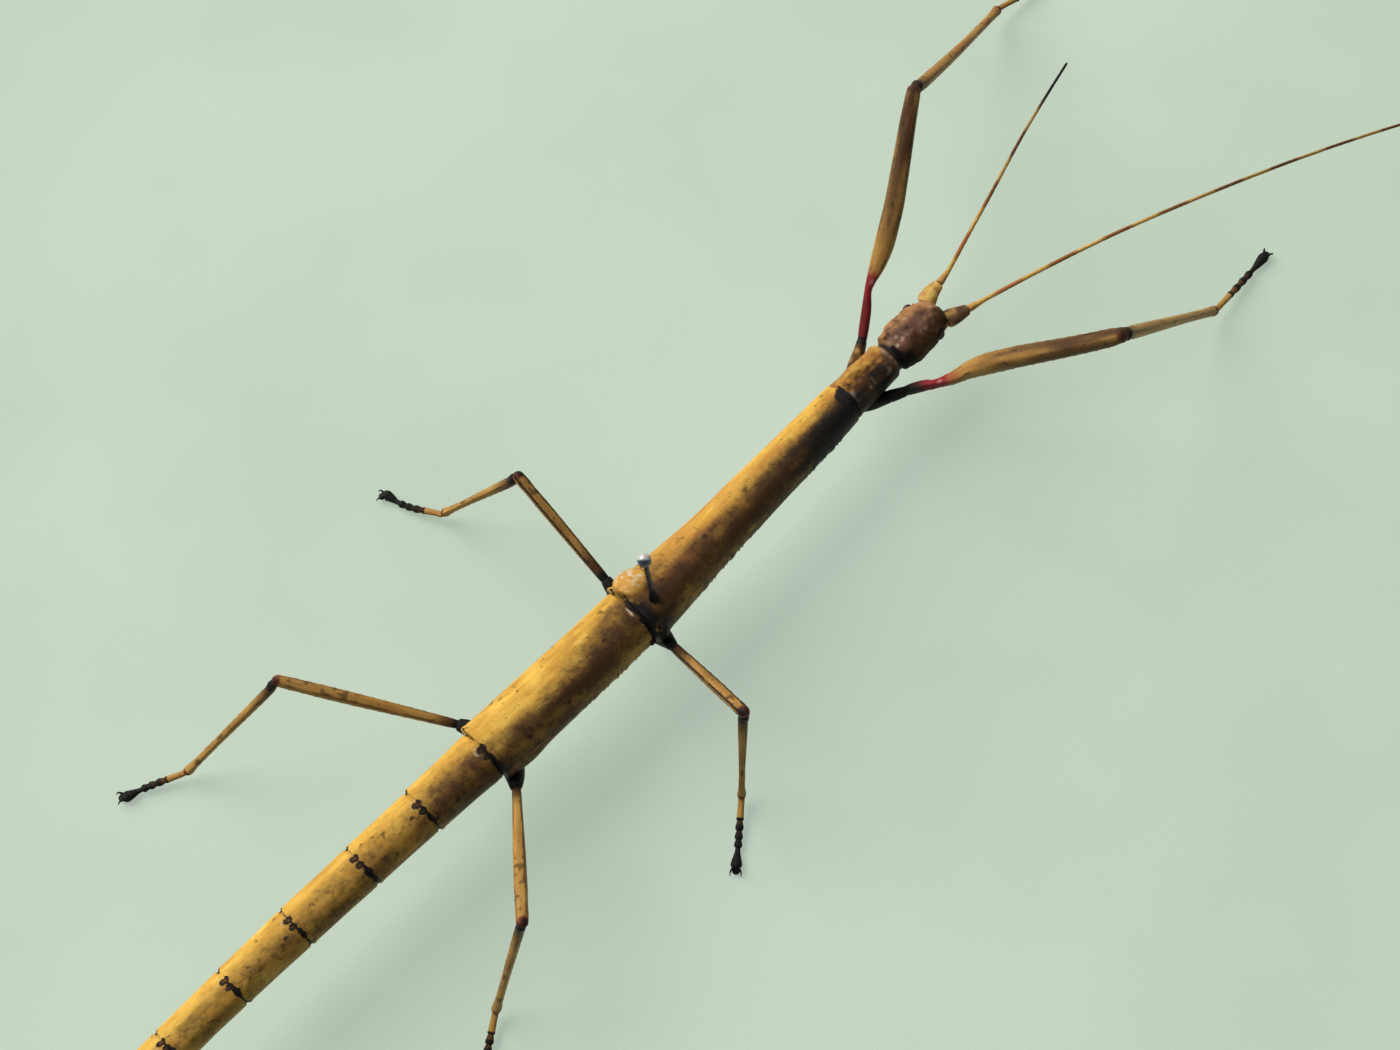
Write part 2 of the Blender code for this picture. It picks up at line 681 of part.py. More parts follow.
def pin_parts(body):
    """The pin through the rear of the mesothorax, with room round it, and its ball head."""
    foot = Vector((PIN_X, PIN_Y, PIN_TIP_Z))
    radius = 0.5 * PIN_DIAMETER
    crown = PIN_HEAD_Z - 0.5 * PIN_HEAD_DIAMETER - 0.1
    path = [foot, foot + UP * 1.2, foot + UP * 10.0, foot + UP * (crown - PIN_TIP_Z)]
    radii = [(0.5 * radius,) * 2, (radius,) * 2, (radius,) * 2, (radius,) * 2]
    tube("pin_shaft", path, radii, STEEL, 12, Vector((0, 1, 0)))
    centre = Vector((PIN_X, PIN_Y, PIN_HEAD_Z))
    ball = (0.5 * PIN_HEAD_DIAMETER,) * 3
    make_solid("pin_head", ellipsoid_rings(centre, ball, 14, 8, "Z"), PEARL)
    hole = [Vector((PIN_X, PIN_Y, z)) for z in (2.0, 26.0)]
    drill = tube("pin_hole", hole, [(0.5 * PIN_HOLE,) * 2] * 2, SOOT, 12, Vector((0, 1, 0)))
    cut(body, drill)


def centre_on_footprint():
    """Moves everything so that the middle of the bounding box is over the origin."""
    bpy.context.view_layer.update()
    corners = []
    for obj in bpy.data.objects:
        if not obj.hide_render:
            corners += [vertex.co for vertex in obj.data.vertices]
    low_x = min(point.x for point in corners)
    high_x = max(point.x for point in corners)
    low_y = min(point.y for point in corners)
    high_y = max(point.y for point in corners)
    shift = Vector((-(low_x + high_x) / 2, -(low_y + high_y) / 2, 0.0))
    for obj in bpy.data.objects:
        for vertex in obj.data.vertices:
            vertex.co += shift


def main():
    clear_scene()
    head_parts()
    mouth_parts()
    antenna("left", Vector((2.75, -0.1, 15.0)), (-93.0, -4.0, 17.0), (17.0, -5.0), 45.0)
    antenna("right", Vector((-2.25, -0.1, 14.6)), (-116.8, -6.0, 5.0), (16.0, -20.0), 88.0)
    trunk_piece("prothorax", PROTHORAX, OCHRE, 20, 3)
    body = trunk_piece("mesothorax", MESOTHORAX, STRAW, 20, 10)
    trunk_piece("metathorax", METATHORAX, STRAW, 20, 5)
    trunk_piece("median_segment", MEDIAN_SEGMENT, STRAW, 18, 2)
    tail_y = abdomen_pieces()
    tail_parts(tail_y)
    for label, pose in LEGS.items():
        leg(label, pose)
    pin_parts(body)
    centre_on_footprint()


main()
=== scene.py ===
"""The looks of the giant stick insect: skins, shell detail, colours, light and camera.

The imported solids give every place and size. Blender's objects are in metres. The numbers of
the insect itself are in millimetres, as a person would measure it.
"""

import functools
import json
import math

import bpy
import numpy as np
from mathutils import Matrix, Vector

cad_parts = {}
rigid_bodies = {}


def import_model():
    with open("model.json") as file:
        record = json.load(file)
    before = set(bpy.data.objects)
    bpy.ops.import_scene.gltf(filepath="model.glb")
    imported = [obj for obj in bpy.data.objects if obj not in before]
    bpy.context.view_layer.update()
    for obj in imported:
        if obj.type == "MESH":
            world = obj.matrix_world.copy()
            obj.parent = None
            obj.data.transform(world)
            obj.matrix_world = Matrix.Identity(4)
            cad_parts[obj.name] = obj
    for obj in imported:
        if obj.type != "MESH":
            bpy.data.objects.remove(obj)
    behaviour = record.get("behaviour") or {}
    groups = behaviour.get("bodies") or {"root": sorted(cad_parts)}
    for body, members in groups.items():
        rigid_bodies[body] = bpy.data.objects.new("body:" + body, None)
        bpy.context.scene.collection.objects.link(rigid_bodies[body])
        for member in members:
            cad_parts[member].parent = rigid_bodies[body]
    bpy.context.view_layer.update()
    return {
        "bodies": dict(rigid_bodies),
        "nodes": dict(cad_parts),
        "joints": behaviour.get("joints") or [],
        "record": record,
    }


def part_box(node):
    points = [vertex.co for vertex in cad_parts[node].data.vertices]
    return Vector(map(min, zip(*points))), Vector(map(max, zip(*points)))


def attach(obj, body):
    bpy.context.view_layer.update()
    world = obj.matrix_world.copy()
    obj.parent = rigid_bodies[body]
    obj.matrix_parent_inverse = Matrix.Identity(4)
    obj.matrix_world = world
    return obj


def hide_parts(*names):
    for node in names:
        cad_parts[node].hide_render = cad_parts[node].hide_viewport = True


MM = 0.001
TO_MM = 1000.0
X_AXIS, Y_AXIS, Z_AXIS = np.eye(3)
BODY = "root"
SIDES = ("left", "right")
PAIRS = ("fore", "mid", "hind")

# Where the camera stands, from the middle of the pin at floor level.
CAMERA_FROM_PIN = Vector((-91.25, 70.1, 294.7)) * MM
CAMERA_AZIMUTH = 228.6
CAMERA_LIFT = 65.5
CAMERA_ROLL = -5.2
FIELD_OF_VIEW = 38.0
SENSOR_WIDTH = 36.0
# The key light's lean away from the view, as a sine and cosine.
KEY_TILT = (0.93, 0.37)
FLOOR_REACH = 3.0
FLOOR_COLOURS = ((0.147, 0.178, 0.144), (0.161, 0.192, 0.16))
FLOOR_GLOW = 2.27

# Trunk skin.
TRUNK = ["prothorax", "mesothorax", "metathorax", "median_segment"]
TRUNK += [f"abdomen_{k}" for k in range(2, 11)]
TRUNK_SIDES = 104
TRUNK_STEP = 0.25
JOINT_STEP = 0.06
TRUNK_POWER = 2.25
AXIS_HEIGHT = 14.0
GROOVE_DEPTHS = (0.4, 0.16) + (0.15,) * 10
NECK_RADIUS = 2.5

# Head skin. Its axis, and its half widths and heights from the brow at 0 to the nape at 1,
# are shares of its size.
HEAD_SIDES = 132
HEAD_ROWS = 170
HEAD_POWER = 2.6
HEAD_AXIS = 0.483
HEAD_WIDTHS = (
    (0.0, 0.54), (0.1, 0.68), (0.24, 0.86), (0.45, 0.955), (0.62, 1.0), (0.8, 0.955),
    (0.93, 0.84), (1.0, 0.7),
)
HEAD_HEIGHTS = ((0.0, 0.6), (0.12, 0.8), (0.3, 0.93), (0.6, 1.0), (0.85, 0.97), (1.0, 0.86))

# Feelers: joint ends along them, and a slight bow with how far it reaches.
SCAPE_INSIDE = 1.0
SCAPE_END = 3.2
PEDICEL_END = 4.9
FEELER_NUDGE = {"left": ((-0.42, -0.09, 0.0), 34.0), "right": ((0.2, -0.07, 0.09), 50.0)}
SCAPE_BROWN = {"left": 0.05, "right": 0.75}

LIMB_SIDES = 36
# Inner notch of each fore thigh: its place, depth, spread and the bulge after it.
NOTCH = {"left": (8.6, 0.5, 2.2, 0.0), "right": (6.6, 0.66, 1.8, 0.3)}
# Colours of the fore thighs: dark base, end and strength of the red, and burnt tone.
FORE_THIGH = {"left": ((1.5, 1.0), 5.0, 0.45, 0.12), "right": ((3.6, 1.0), 8.0, 0.6, 0.45)}
# Thighs: share of the solid's size, and half width at the knee.
THIGH_SIZES = {"fore": (1.0, 1.12), "mid": (0.9, 0.88), "hind": (0.84, 0.86)}
# Shins: half width at the knee, shares of the solid's size at the knee and the ankle, and
# the dark at the two ends as a reach in millimetres and a strength.
SHIN_SIZES = {
    "fore": (0.9, 1.0, 0.92, (2.2, 0.55), (2.2, 0.35)),
    "mid": (0.72, 0.8, 0.86, (3.0, 0.75), (1.6, 0.3)),
    "hind": (0.72, 0.78, 0.86, (3.0, 0.7), (1.4, 0.25)),
}
SHIN_LEAST = 0.46
SHIN_BOW = (-0.3, 0.1, 0.0)
# Foot joints: where they end as shares of the foot, and half widths along three kinds.
FOOT_CUTS = (0.0, 0.34, 0.48, 0.6, 0.71, 1.0)
FOOT_SHARE = 0.924
LONG_JOINT = ((0.0, 0.46), (0.5, 0.45), (0.85, 0.5), (1.0, 0.56))
BEAD = ((0.0, 0.3), (0.25, 0.4), (0.7, 0.6), (1.0, 0.52))
CLUB = ((0.0, 0.33), (0.3, 0.38), (0.6, 0.66), (0.85, 0.86), (1.0, 0.7))
BEAD_DARK = (0.16, 0.26, 0.42)
PAIR_DARK = {"fore": 0.0, "mid": 0.2, "hind": 0.08}
PALP_CUTS = (0.0, 0.2, 0.38, 0.6, 0.8, 1.0)

EYE_SHARE = 0.98
PIN_SHARE = 0.6
BALL_RADIUS = 1.05
BALL_DROP = 1.6
PIN_LEAN = np.array([0.36, 0.34])
PIN_BEND = 17.0
# Up in the view: the pin's ball gets painted shade on the side turned away from it.
BALL_SHADE_AXIS = (0.62, -0.667, 0.413)

# Pigments that the shells share.
INK = (0.005, 0.0035, 0.0035)
BLOOM = (0.50, 0.42, 0.31)
UMBER = (0.052, 0.02, 0.005)
RUST = (0.33, 0.115, 0.03)
# Shells: slot, three ground colours, red pigment, roughness, length of the streaks (less is
# longer), coarseness, and scale and share of the small specks.
SHELLS = {
    "trunk": ("straw_cuticle", ((0.34, 0.155, 0.022), (0.54, 0.30, 0.042), (0.72, 0.46, 0.085)),
              RUST, 0.46, 0.2, 1.3, (1.5, 0.3)),
    "head": ("head_cuticle", ((0.07, 0.03, 0.022), (0.13, 0.062, 0.042), (0.22, 0.13, 0.09)),
             (0.38, 0.18, 0.07), 0.7, 0.6, 2.6, (2.4, 0.6)),
    "limb": ("ochre_cuticle", ((0.22, 0.10, 0.022), (0.34, 0.18, 0.04), (0.46, 0.28, 0.075)),
             (0.20, 0.008, 0.013), 0.48, 0.08, 1.0, (2.0, 0.4)),
    "feeler": ("bone_yellow_cuticle",
               ((0.36, 0.185, 0.035), (0.52, 0.32, 0.075), (0.64, 0.44, 0.13)),
               RUST, 0.5, 0.2, 1.0, (2.6, 0.4)),
    "black": ("black_cuticle",
              ((0.004, 0.003, 0.003), (0.008, 0.006, 0.006), (0.02, 0.014, 0.011)),
              UMBER, 0.42, 0.4, 1.0, (1.5, 0.3)),
}


# ---------------------------------------------------------------- numbers


def ramp(low, high, value):
    """0 below low, 1 above high, smooth between."""
    t = np.clip((value - low) / (high - low), 0.0, 1.0)
    return t * t * (3.0 - 2.0 * t)


def bump(value, centre, spread):
    """1 at the centre, fading out to both sides of it."""
    return np.exp(-(((value - centre) / spread) ** 2))


def window(value, start, full, fade, stop):
    """1 from full to fade, and 0 outside start and stop."""
    return ramp(start, full, value) * ramp(stop, fade, value)


def mix(a, b, t):
    return a + (b - a) * t


def most(*values):
    """The largest of several fields, place by place."""
    return functools.reduce(np.maximum, values)


def ellipse(a, b):
    """How far out in an ellipse, 1 on its edge, from the shares of its two half axes."""
    return np.sqrt(a**2 + b**2)


def quarter(x):
    """A quarter of a circle, from 1 at 0 down to 0 at 1."""
    return np.sqrt(np.clip(1.0 - x**2, 0.0, 1.0))


def circle(sides):
    """Angles round a section, from one side over the top."""
    return np.linspace(0.0, 2.0 * math.pi, sides, endpoint=False)[None, :]


def section(sides, power):
    """Angles round a section, and its shape across and upward. A higher power is squarer."""
    angle = circle(sides)
    shape = (np.sign(v) * np.abs(v) ** (2.0 / power) for v in (np.cos(angle), np.sin(angle)))
    return angle, *shape


def hashed(cell, seed):
    """A repeatable number from 0 to 1 for each cell of a grid."""
    x, y, z = (cell[..., k] for k in range(3))
    mixed = (x * 73856093) ^ (y * 19349663) ^ (z * 83492791) ^ (seed * 2654435)
    mixed = ((mixed ^ (mixed >> 13)) * 1274126177) & 0xFFFFFFFF
    return ((mixed ^ (mixed >> 15)) & 0xFFFF) / 65535.0


def grain(points, size, seed, stretch=1.0):
    """Smooth noise from -1 to 1 in lumps of about that size, longer where stretch is less."""
    scaled = points * stretch / size + 31.7 * seed
    cell = np.floor(scaled).astype(np.int64)
    part = scaled - cell
    part = part * part * (3.0 - 2.0 * part)
    total = 0.0
    for corner in range(8):
        offset = np.array([corner & 1, corner >> 1 & 1, corner >> 2 & 1])
        weight = np.prod(np.where(offset == 1, part, 1.0 - part), axis=-1)
        total = total + weight * hashed(cell + offset, seed)
    return 2.0 * total - 1.0


def smoothed(values, spread):
    """A running average over so many samples, with straight continuations at the ends."""
    reach = int(3 * spread)
    kernel = np.exp(-((np.arange(-reach, reach + 1) / spread) ** 2))
    kernel /= kernel.sum()
    near = values[0] + np.arange(-reach, 0)[:, None] * (values[1] - values[0])
    far = values[-1] + np.arange(1, reach + 1)[:, None] * (values[-1] - values[-2])
    padded = np.concatenate([near, values, far])
    return np.stack([np.convolve(column, kernel, "valid") for column in padded.T], axis=1)


def rounded(t, stations):
    """A smooth share through (place, value) pairs."""
    at, value = zip(*stations)
    wide = np.linspace(-0.2, 1.2, 281)
    table = np.interp(wide, at, value)[:, None]
    return np.interp(t, wide, smoothed(table, 7.0)[:, 0])


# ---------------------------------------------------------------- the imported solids


def box_mm(node):
    """The low corner, high corner and centre of a solid's box, in millimetres."""
    low, high = (np.array(corner) * TO_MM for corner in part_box(node))
    return low, high, 0.5 * (low + high)


def node_middle(node):
    low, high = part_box(node)
    return np.array((low + high) / 2) * TO_MM


def triangles(frame, node):
    """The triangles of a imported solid, in millimetres."""
    mesh = frame["nodes"][node].data
    mesh.calc_loop_triangles()
    corners = np.array([v.co for v in mesh.vertices], float) * TO_MM
    return corners[np.array([t.vertices for t in mesh.loop_triangles])]


def cut_across(faces, point, along, side, rise):
    """Where a plane crosses a solid: its middle, and its reach to either side and up."""
    height = (faces - point) @ along
    crossings = []
    for a, b in ((0, 1), (1, 2), (2, 0)):
        ha, hb = height[:, a], height[:, b]
        hit = (ha > 0) != (hb > 0)
        t = (ha[hit] / (ha[hit] - hb[hit]))[:, None]
        crossings.append(faces[hit, a] * (1 - t) + faces[hit, b] * t)
    found = np.concatenate(crossings)
    middle, reach = point, []
    for axis in (side, rise):
        place = (found - point) @ axis
        middle = middle + axis * (place.max() + place.min()) / 2
        reach.append((place.max() - place.min()) / 2)
    return middle, *reach


def spine(frame, node, near, count, trim):
    """The centre line of a long solid, from the end nearer to a point, with its half sizes."""
    faces = triangles(frame, node)
    cloud = faces.reshape(-1, 3)
    centre = cloud.mean(axis=0)
    along = np.linalg.svd(cloud - centre, full_matrices=False)[2][0]
    reach = (cloud - centre) @ along
    ends = [np.linalg.norm(centre + along * end - near) for end in (reach.min(), reach.max())]
    if ends[1] < ends[0]:
        along, reach = -along, -reach
    side = np.cross(along, (0.0, 0.0, 1.0))
    side /= np.linalg.norm(side)
    rise = np.cross(side, along)
    low = reach.min() + trim[0] * np.ptp(reach)
    high = reach.max() - trim[1] * np.ptp(reach)
    rows = []
    for at in np.linspace(low, high, count):
        middle, *sizes = cut_across(faces, centre + along * at, along, side, rise)
        rows.append((*middle, *sizes))
    return np.array(rows)


# ---------------------------------------------------------------- meshes


def closed_part(grid, lay, tint):
    """One closed shell of a skin: rows of points with a pole at either end."""
    rows, columns = grid.shape[:2]
    i = np.arange(columns)
    j = (i + 1) % columns
    quads = []
    for low in range(0, (rows - 1) * columns, columns):
        quads.append(np.stack([low + i, low + j, low + columns + j, low + columns + i], axis=1))
    first = rows * columns
    last = first - columns
    start = np.stack([j, i, np.full(columns, first)], axis=1)
    stop = np.stack([last + i, last + j, np.full(columns, first + 1)], axis=1)
    made = {"quads": np.vstack(quads), "fans": np.vstack([start, stop])}
    for name, array in (("points", grid), ("lay", lay), ("tint", tint)):
        ends = (array[0].mean(axis=0), array[-1].mean(axis=0))
        made[name] = np.vstack([array.reshape(-1, array.shape[-1]), *ends])
    return made


def inside_out(points, faces):
    a, b, c, d = (points[faces[:, k]] for k in range(4))
    volume = np.einsum("ij,ij->", a, np.cross(b, c)) + np.einsum("ij,ij->", a, np.cross(c, d))
    return volume <= 0


def set_attribute(mesh, name, kind, field, values):
    attribute = mesh.attributes.new(name, kind, "POINT")
    attribute.data.foreach_set(field, np.ascontiguousarray(values, np.float32).ravel())


def skin(name, parts, look, nodes):
    """One piece from closed shells. It rides on the body and stands for the named solids."""
    material, slot = look
    faces = []
    start = 0
    for part in parts:
        turn = -1 if inside_out(part["points"], part["quads"]) else 1
        for group in (part["quads"], part["fans"]):
            faces += (group[:, ::turn] + start).tolist()
        start += len(part["points"])
    points, lay, masks = (np.vstack([part[k] for part in parts]) for k in ("points", "lay", "tint"))
    mesh = bpy.data.meshes.new(name)
    mesh.from_pydata((points * MM).tolist(), [], faces)
    mesh.polygons.foreach_set("use_smooth", np.ones(len(mesh.polygons), bool))
    set_attribute(mesh, "lay", "FLOAT_VECTOR", "vector", lay)
    set_attribute(mesh, "tint", "FLOAT_COLOR", "color", np.clip(masks, 0.0, 1.0))
    mesh.materials.append(material)
    mesh.update()
    piece = bpy.data.objects.new(name, mesh)
    bpy.context.scene.collection.objects.link(piece)
    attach(piece, BODY)
    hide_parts(*nodes)


def tints(shape, dark=0.0, red=0.0, pale=0.0, umber=0.0):
    """The four masks that a shell's material mixes over its ground colour: pigments, with painted
    shade and light among them on some parts.

    Each is one number, a line of numbers along the part, or a grid.
    """
    layers = (np.asarray(value) for value in (dark, red, pale, umber))
    layers = (value[:, None] if value.ndim == 1 else value for value in layers)
    return np.stack([np.broadcast_to(value, shape) for value in layers], axis=-1)


def frames_along(path):
    """Side and rise directions along a path, the rise as near to straight up as it can be."""
    along = np.gradient(path, axis=0)
    along /= np.linalg.norm(along, axis=1, keepdims=True)
    side = np.cross(along, (0.0, 0.0, 1.0))
    side /= np.linalg.norm(side, axis=1, keepdims=True)
    return side, np.cross(side, along)


def resampled(rows, step):
    """Evenly spaced rows along a centre line, smooth through the given ones."""
    lengths = np.linalg.norm(np.diff(rows[:, :3], axis=0), axis=1)
    at = np.concatenate([[0.0], np.cumsum(lengths)])
    count = max(8, int(at[-1] / step))
    wanted = np.linspace(0.0, at[-1], count)
    table = np.stack([np.interp(wanted, at, column) for column in rows.T], axis=1)
    spread = min(count / 8.0, 0.35 * count / len(rows) + 2.0)
    return smoothed(table, spread), wanted


def extended(rows, start, stop):
    """A centre line carried straight on past both ends by so many millimetres."""
    ends = []
    for end, inner, reach in ((rows[0], rows[1], start), (rows[-1], rows[-2], stop)):
        away = end[:3] - inner[:3]
        ends.append(end.copy())
        ends[-1][:3] += away / np.linalg.norm(away) * reach
    return np.vstack([ends[0], rows, ends[1]])


def tube(path, wide, deep, at, tint=(), relief=None, power=2.0, sides=LIMB_SIDES, floor=None):
    """A shell along a path, with relief(at, angle) added to its radius.

    tint holds its pigments, or is a function of (at, angle, lay) that gives them.
    """
    side, rise = frames_along(path)
    angle, across, upward = section(sides, power)
    more = relief(at[:, None], angle) if relief else np.zeros((len(at), sides))
    reach_side = (wide[:, None] + more) * across
    reach_rise = (deep[:, None] + more) * upward
    grid = path[:, None, :] + side[:, None, :] * reach_side[..., None]
    grid = grid + rise[:, None, :] * reach_rise[..., None]
    if floor is not None:
        grid[..., 2] = np.maximum(grid[..., 2], floor)
    lay = np.stack([reach_side, reach_rise, np.broadcast_to(at[:, None], reach_side.shape)], -1)
    pigments = tint(at[:, None], angle, lay) if callable(tint) else tint
    return closed_part(grid, lay, tints(reach_side.shape, *pigments))


def domed(at, start, stop):
    """A factor that rounds both ends of a tube over the given distances."""
    head = np.clip(1.0 - at / start, 0.0, 1.0)
    tail = np.clip((at - at[-1] + stop) / stop, 0.0, 1.0)
    return np.sqrt(np.maximum(1.0 - np.maximum(head, tail) ** 2, 0.0004))


def sized(table, shape, at, *others):
    """A tube from rows of centre and half sizes, scaled by a factor along it."""
    return tube(table[:, :3], table[:, 3] * shape, table[:, 4] * shape, at, *others)


def lobe(points, radii, *pigments):
    """A small rounded limb part through a few points, with half sizes at each."""
    rows = np.array([(*p, *r) for p, r in zip(points, radii)])
    table, at = resampled(rows, 0.08)
    return sized(table, domed(at, 0.35, 0.35), at, pigments, None, 2.1, 28)


def ball_part(centre, radii, rows=24, sides=32, dark=0.0):
    """An ellipsoid shell, for eyes, small knobs and the pin's ball."""
    tilt = np.linspace(0.05, math.pi - 0.05, rows)[:, None]
    turn = circle(sides)
    unit = (np.sin(tilt) * np.cos(turn), np.sin(tilt) * np.sin(turn), np.cos(tilt))
    lay = np.stack(np.broadcast_arrays(*unit), axis=-1) * np.asarray(radii)
    return closed_part(np.asarray(centre) + lay, lay, tints(lay.shape[:2], dark))


# ---------------------------------------------------------------- materials


def plug(tree, socket, value):
    """A link or a constant on a socket. A colour may come without its alpha."""
    if isinstance(value, bpy.types.NodeSocket):
        tree.links.new(value, socket)
    elif socket.type == "RGBA":
        socket.default_value = (*value, 1.0)
    else:
        socket.default_value = value


def fill(tree, node, inputs):
    for name, value in inputs.items():
        plug(tree, node.inputs[name], value)


def add(tree, kind, inputs=None, **settings):
    """A shader node with its settings, and with values or links on its inputs."""
    made = tree.nodes.new(kind)
    for name, value in settings.items():
        setattr(made, name, value)
    fill(tree, made, inputs or {})
    return made


def times(tree, a, b):
    return add(tree, "ShaderNodeMath", {0: a, 1: b}, operation="MULTIPLY").outputs[0]


def plus(tree, value, factor, more):
    """A value times a factor, on top of another value."""
    inputs = {0: value, 1: factor, 2: more}
    return add(tree, "ShaderNodeMath", inputs, operation="MULTIPLY_ADD").outputs[0]


def remapped(tree, value, low, high, to_low=0.0, to_high=1.0):
    inputs = {"Value": value, "From Min": low, "From Max": high}
    inputs.update({"To Min": to_low, "To Max": to_high})
    return add(tree, "ShaderNodeMapRange", inputs, interpolation_type="SMOOTHSTEP").outputs[0]


def blended(tree, amount, a, b):
    """Colour a turning into colour b."""
    return add(tree, "ShaderNodeMix", {0: amount, 6: a, 7: b}, data_type="RGBA").outputs[2]


def noise(tree, where, scale, detail=4.0, rough=0.55):
    inputs = {"Vector": where, "Scale": scale, "Detail": detail, "Roughness": rough}
    return add(tree, "ShaderNodeTexNoise", inputs).outputs["Fac"]


def drawn_out(tree, where, share):
    """Coordinates that draw a pattern out along the part, longer for a smaller share."""
    inputs = {0: where, 1: (1.0, 1.0, share)}
    return add(tree, "ShaderNodeVectorMath", inputs, operation="MULTIPLY").outputs[0]


def split_colour(tree, colour):
    return add(tree, "ShaderNodeSeparateColor", {"Color": colour}).outputs


def attribute(tree, name):
    return add(tree, "ShaderNodeAttribute", attribute_name=name).outputs


def raised(tree, height, strength, depth, **settings):
    """Fine relief of a depth in millimetres, as a normal."""
    inputs = {"Height": height, "Strength": strength, "Distance": depth * MM}
    return add(tree, "ShaderNodeBump", inputs, **settings).outputs["Normal"]


def specks(tree, where, scale, share, size, wobble):
    """Scattered spots in a share of the cells, with ragged edges."""
    cells = add(tree, "ShaderNodeTexVoronoi", {"Vector": where, "Scale": scale})
    chosen = split_colour(tree, cells.outputs["Color"])[0]
    away = plus(tree, wobble, 0.5 * size, cells.outputs["Distance"])
    near = remapped(tree, away, size * 1.25, size * 0.6)
    return times(tree, near, remapped(tree, chosen, 1.02 - share, 1.04 - share))


def new_material(name):
    made = bpy.data.materials.new(name)
    made.use_nodes = True
    return made, made.node_tree, made.node_tree.nodes["Principled BSDF"]


def cuticle(name, ground, red, rough, streaks, coarse, spots):
    """Dried insect shell: streaked ground with granules, and four pigments from masks."""
    made, tree, shader = new_material(name)
    lay = attribute(tree, "lay")["Vector"]
    masks = attribute(tree, "tint")
    split = split_colour(tree, masks["Color"])
    long = noise(tree, drawn_out(tree, lay, streaks), 1.3, 5.0, 0.55)
    fibres = noise(tree, drawn_out(tree, lay, 0.6 * streaks), 5.5, 3.0, 0.6)
    patches = noise(tree, drawn_out(tree, lay, 0.35), 0.4, 5.0, 0.55)
    fine = noise(tree, lay, 7.0, 5.0, 0.62)
    wobble = plus(tree, fine, 1.0, -0.5)
    body = plus(tree, fine, 0.2, plus(tree, long, 0.35, times(tree, patches, 0.45)))
    scale = add(tree, "ShaderNodeValToRGB", {"Fac": body})
    stops = scale.color_ramp.elements
    stops.new(0.5)
    for stop, place, colour in zip(stops, (0.34, 0.5, 0.66), ground):
        stop.position, stop.color = place, (*colour, 1.0)
    small = specks(tree, lay, *spots, 0.13, wobble)
    large = specks(tree, drawn_out(tree, lay, 0.7), 0.36, 0.5, 0.11, wobble)
    thread = times(tree, remapped(tree, fibres, 0.56, 0.75), 0.16)
    colour = blended(tree, thread, scale.outputs["Color"], ground[0])
    layers = ((split["Green"], 0.5, 0.1, 0.9, red), (masks["Alpha"], 0.9, 0.1, 0.9, UMBER))
    layers += ((split["Blue"], 1.1, 0.25, 0.85, BLOOM),)
    for mask, ragged, low, high, pigment in layers:
        amount = remapped(tree, plus(tree, wobble, ragged, mask), low, high)
        amount = times(tree, amount, remapped(tree, mask, 0.0, 0.08))
        colour = blended(tree, amount, colour, pigment)
    colour = blended(tree, times(tree, small, 0.6), colour, UMBER)
    colour = blended(tree, times(tree, large, 0.8), colour, INK)
    black = remapped(tree, plus(tree, wobble, 0.7, split["Red"]), 0.15, 0.75)
    height = times(tree, long, 0.5)
    for layer, strength in (
        (fibres, 0.3), (fine, 0.8 * coarse), (small, 0.35 * coarse), (large, 0.3)
    ):
        height = plus(tree, layer, strength, height)
    fill(tree, shader, {
        "Base Color": blended(tree, black, colour, INK),
        "Roughness": remapped(tree, fine, 0.3, 0.7, rough - 0.1, rough + 0.12),
        "Specular IOR Level": 0.14,
        "Normal": raised(tree, height, 0.9, 0.16),
    })
    return made


def eye_material():
    made, tree, shader = new_material("eye_facets")
    lay = attribute(tree, "lay")["Vector"]
    cells = add(tree, "ShaderNodeTexVoronoi", {"Vector": lay, "Scale": 9.0})
    tone = remapped(tree, noise(tree, lay, 2.5), 0.35, 0.7)
    fill(tree, shader, {
        "Base Color": blended(tree, tone, (0.012, 0.006, 0.004), (0.07, 0.03, 0.014)),
        "Roughness": remapped(tree, noise(tree, lay, 5.0), 0.3, 0.7, 0.34, 0.46),
        "Specular IOR Level": 0.25,
        "Normal": raised(tree, cells.outputs["Distance"], 0.25, 0.03, invert=True),
    })
    return made


def pin_steel():
    """Dark wire with fine lines drawn along it, and stains."""
    made, tree, shader = new_material("pin_wire")
    lay = attribute(tree, "lay")["Vector"]
    lines = noise(tree, drawn_out(tree, lay, 0.05), 6.0, 4.0, 0.6)
    stain = remapped(tree, noise(tree, lay, 0.8), 0.4, 0.65)
    fill(tree, shader, {
        "Base Color": blended(tree, stain, (0.012, 0.012, 0.016), (0.05, 0.048, 0.05)),
        "Metallic": 0.6,
        "Roughness": remapped(tree, lines, 0.3, 0.7, 0.3, 0.5),
        "Normal": raised(tree, lines, 0.3, 0.02),
    })
    return made


def pin_enamel():
    """Pearl white ball, with dark blue painted shade on the side that faces down in the view."""
    made, tree, shader = new_material("pin_ball")
    painted_shade = split_colour(tree, attribute(tree, "tint")["Color"])["Red"]
    cloud = noise(tree, attribute(tree, "lay")["Vector"], 2.0, 3.0)
    pearl = blended(tree, cloud, (0.3, 0.27, 0.24), (0.5, 0.48, 0.47))
    fill(tree, shader, {
        "Base Color": blended(tree, painted_shade, pearl, (0.012, 0.016, 0.05)),
        "Roughness": remapped(tree, cloud, 0.3, 0.7, 0.12, 0.24),
        "Coat Weight": 0.5,
        "Normal": raised(tree, cloud, 0.15, 0.03),
    })
    return made


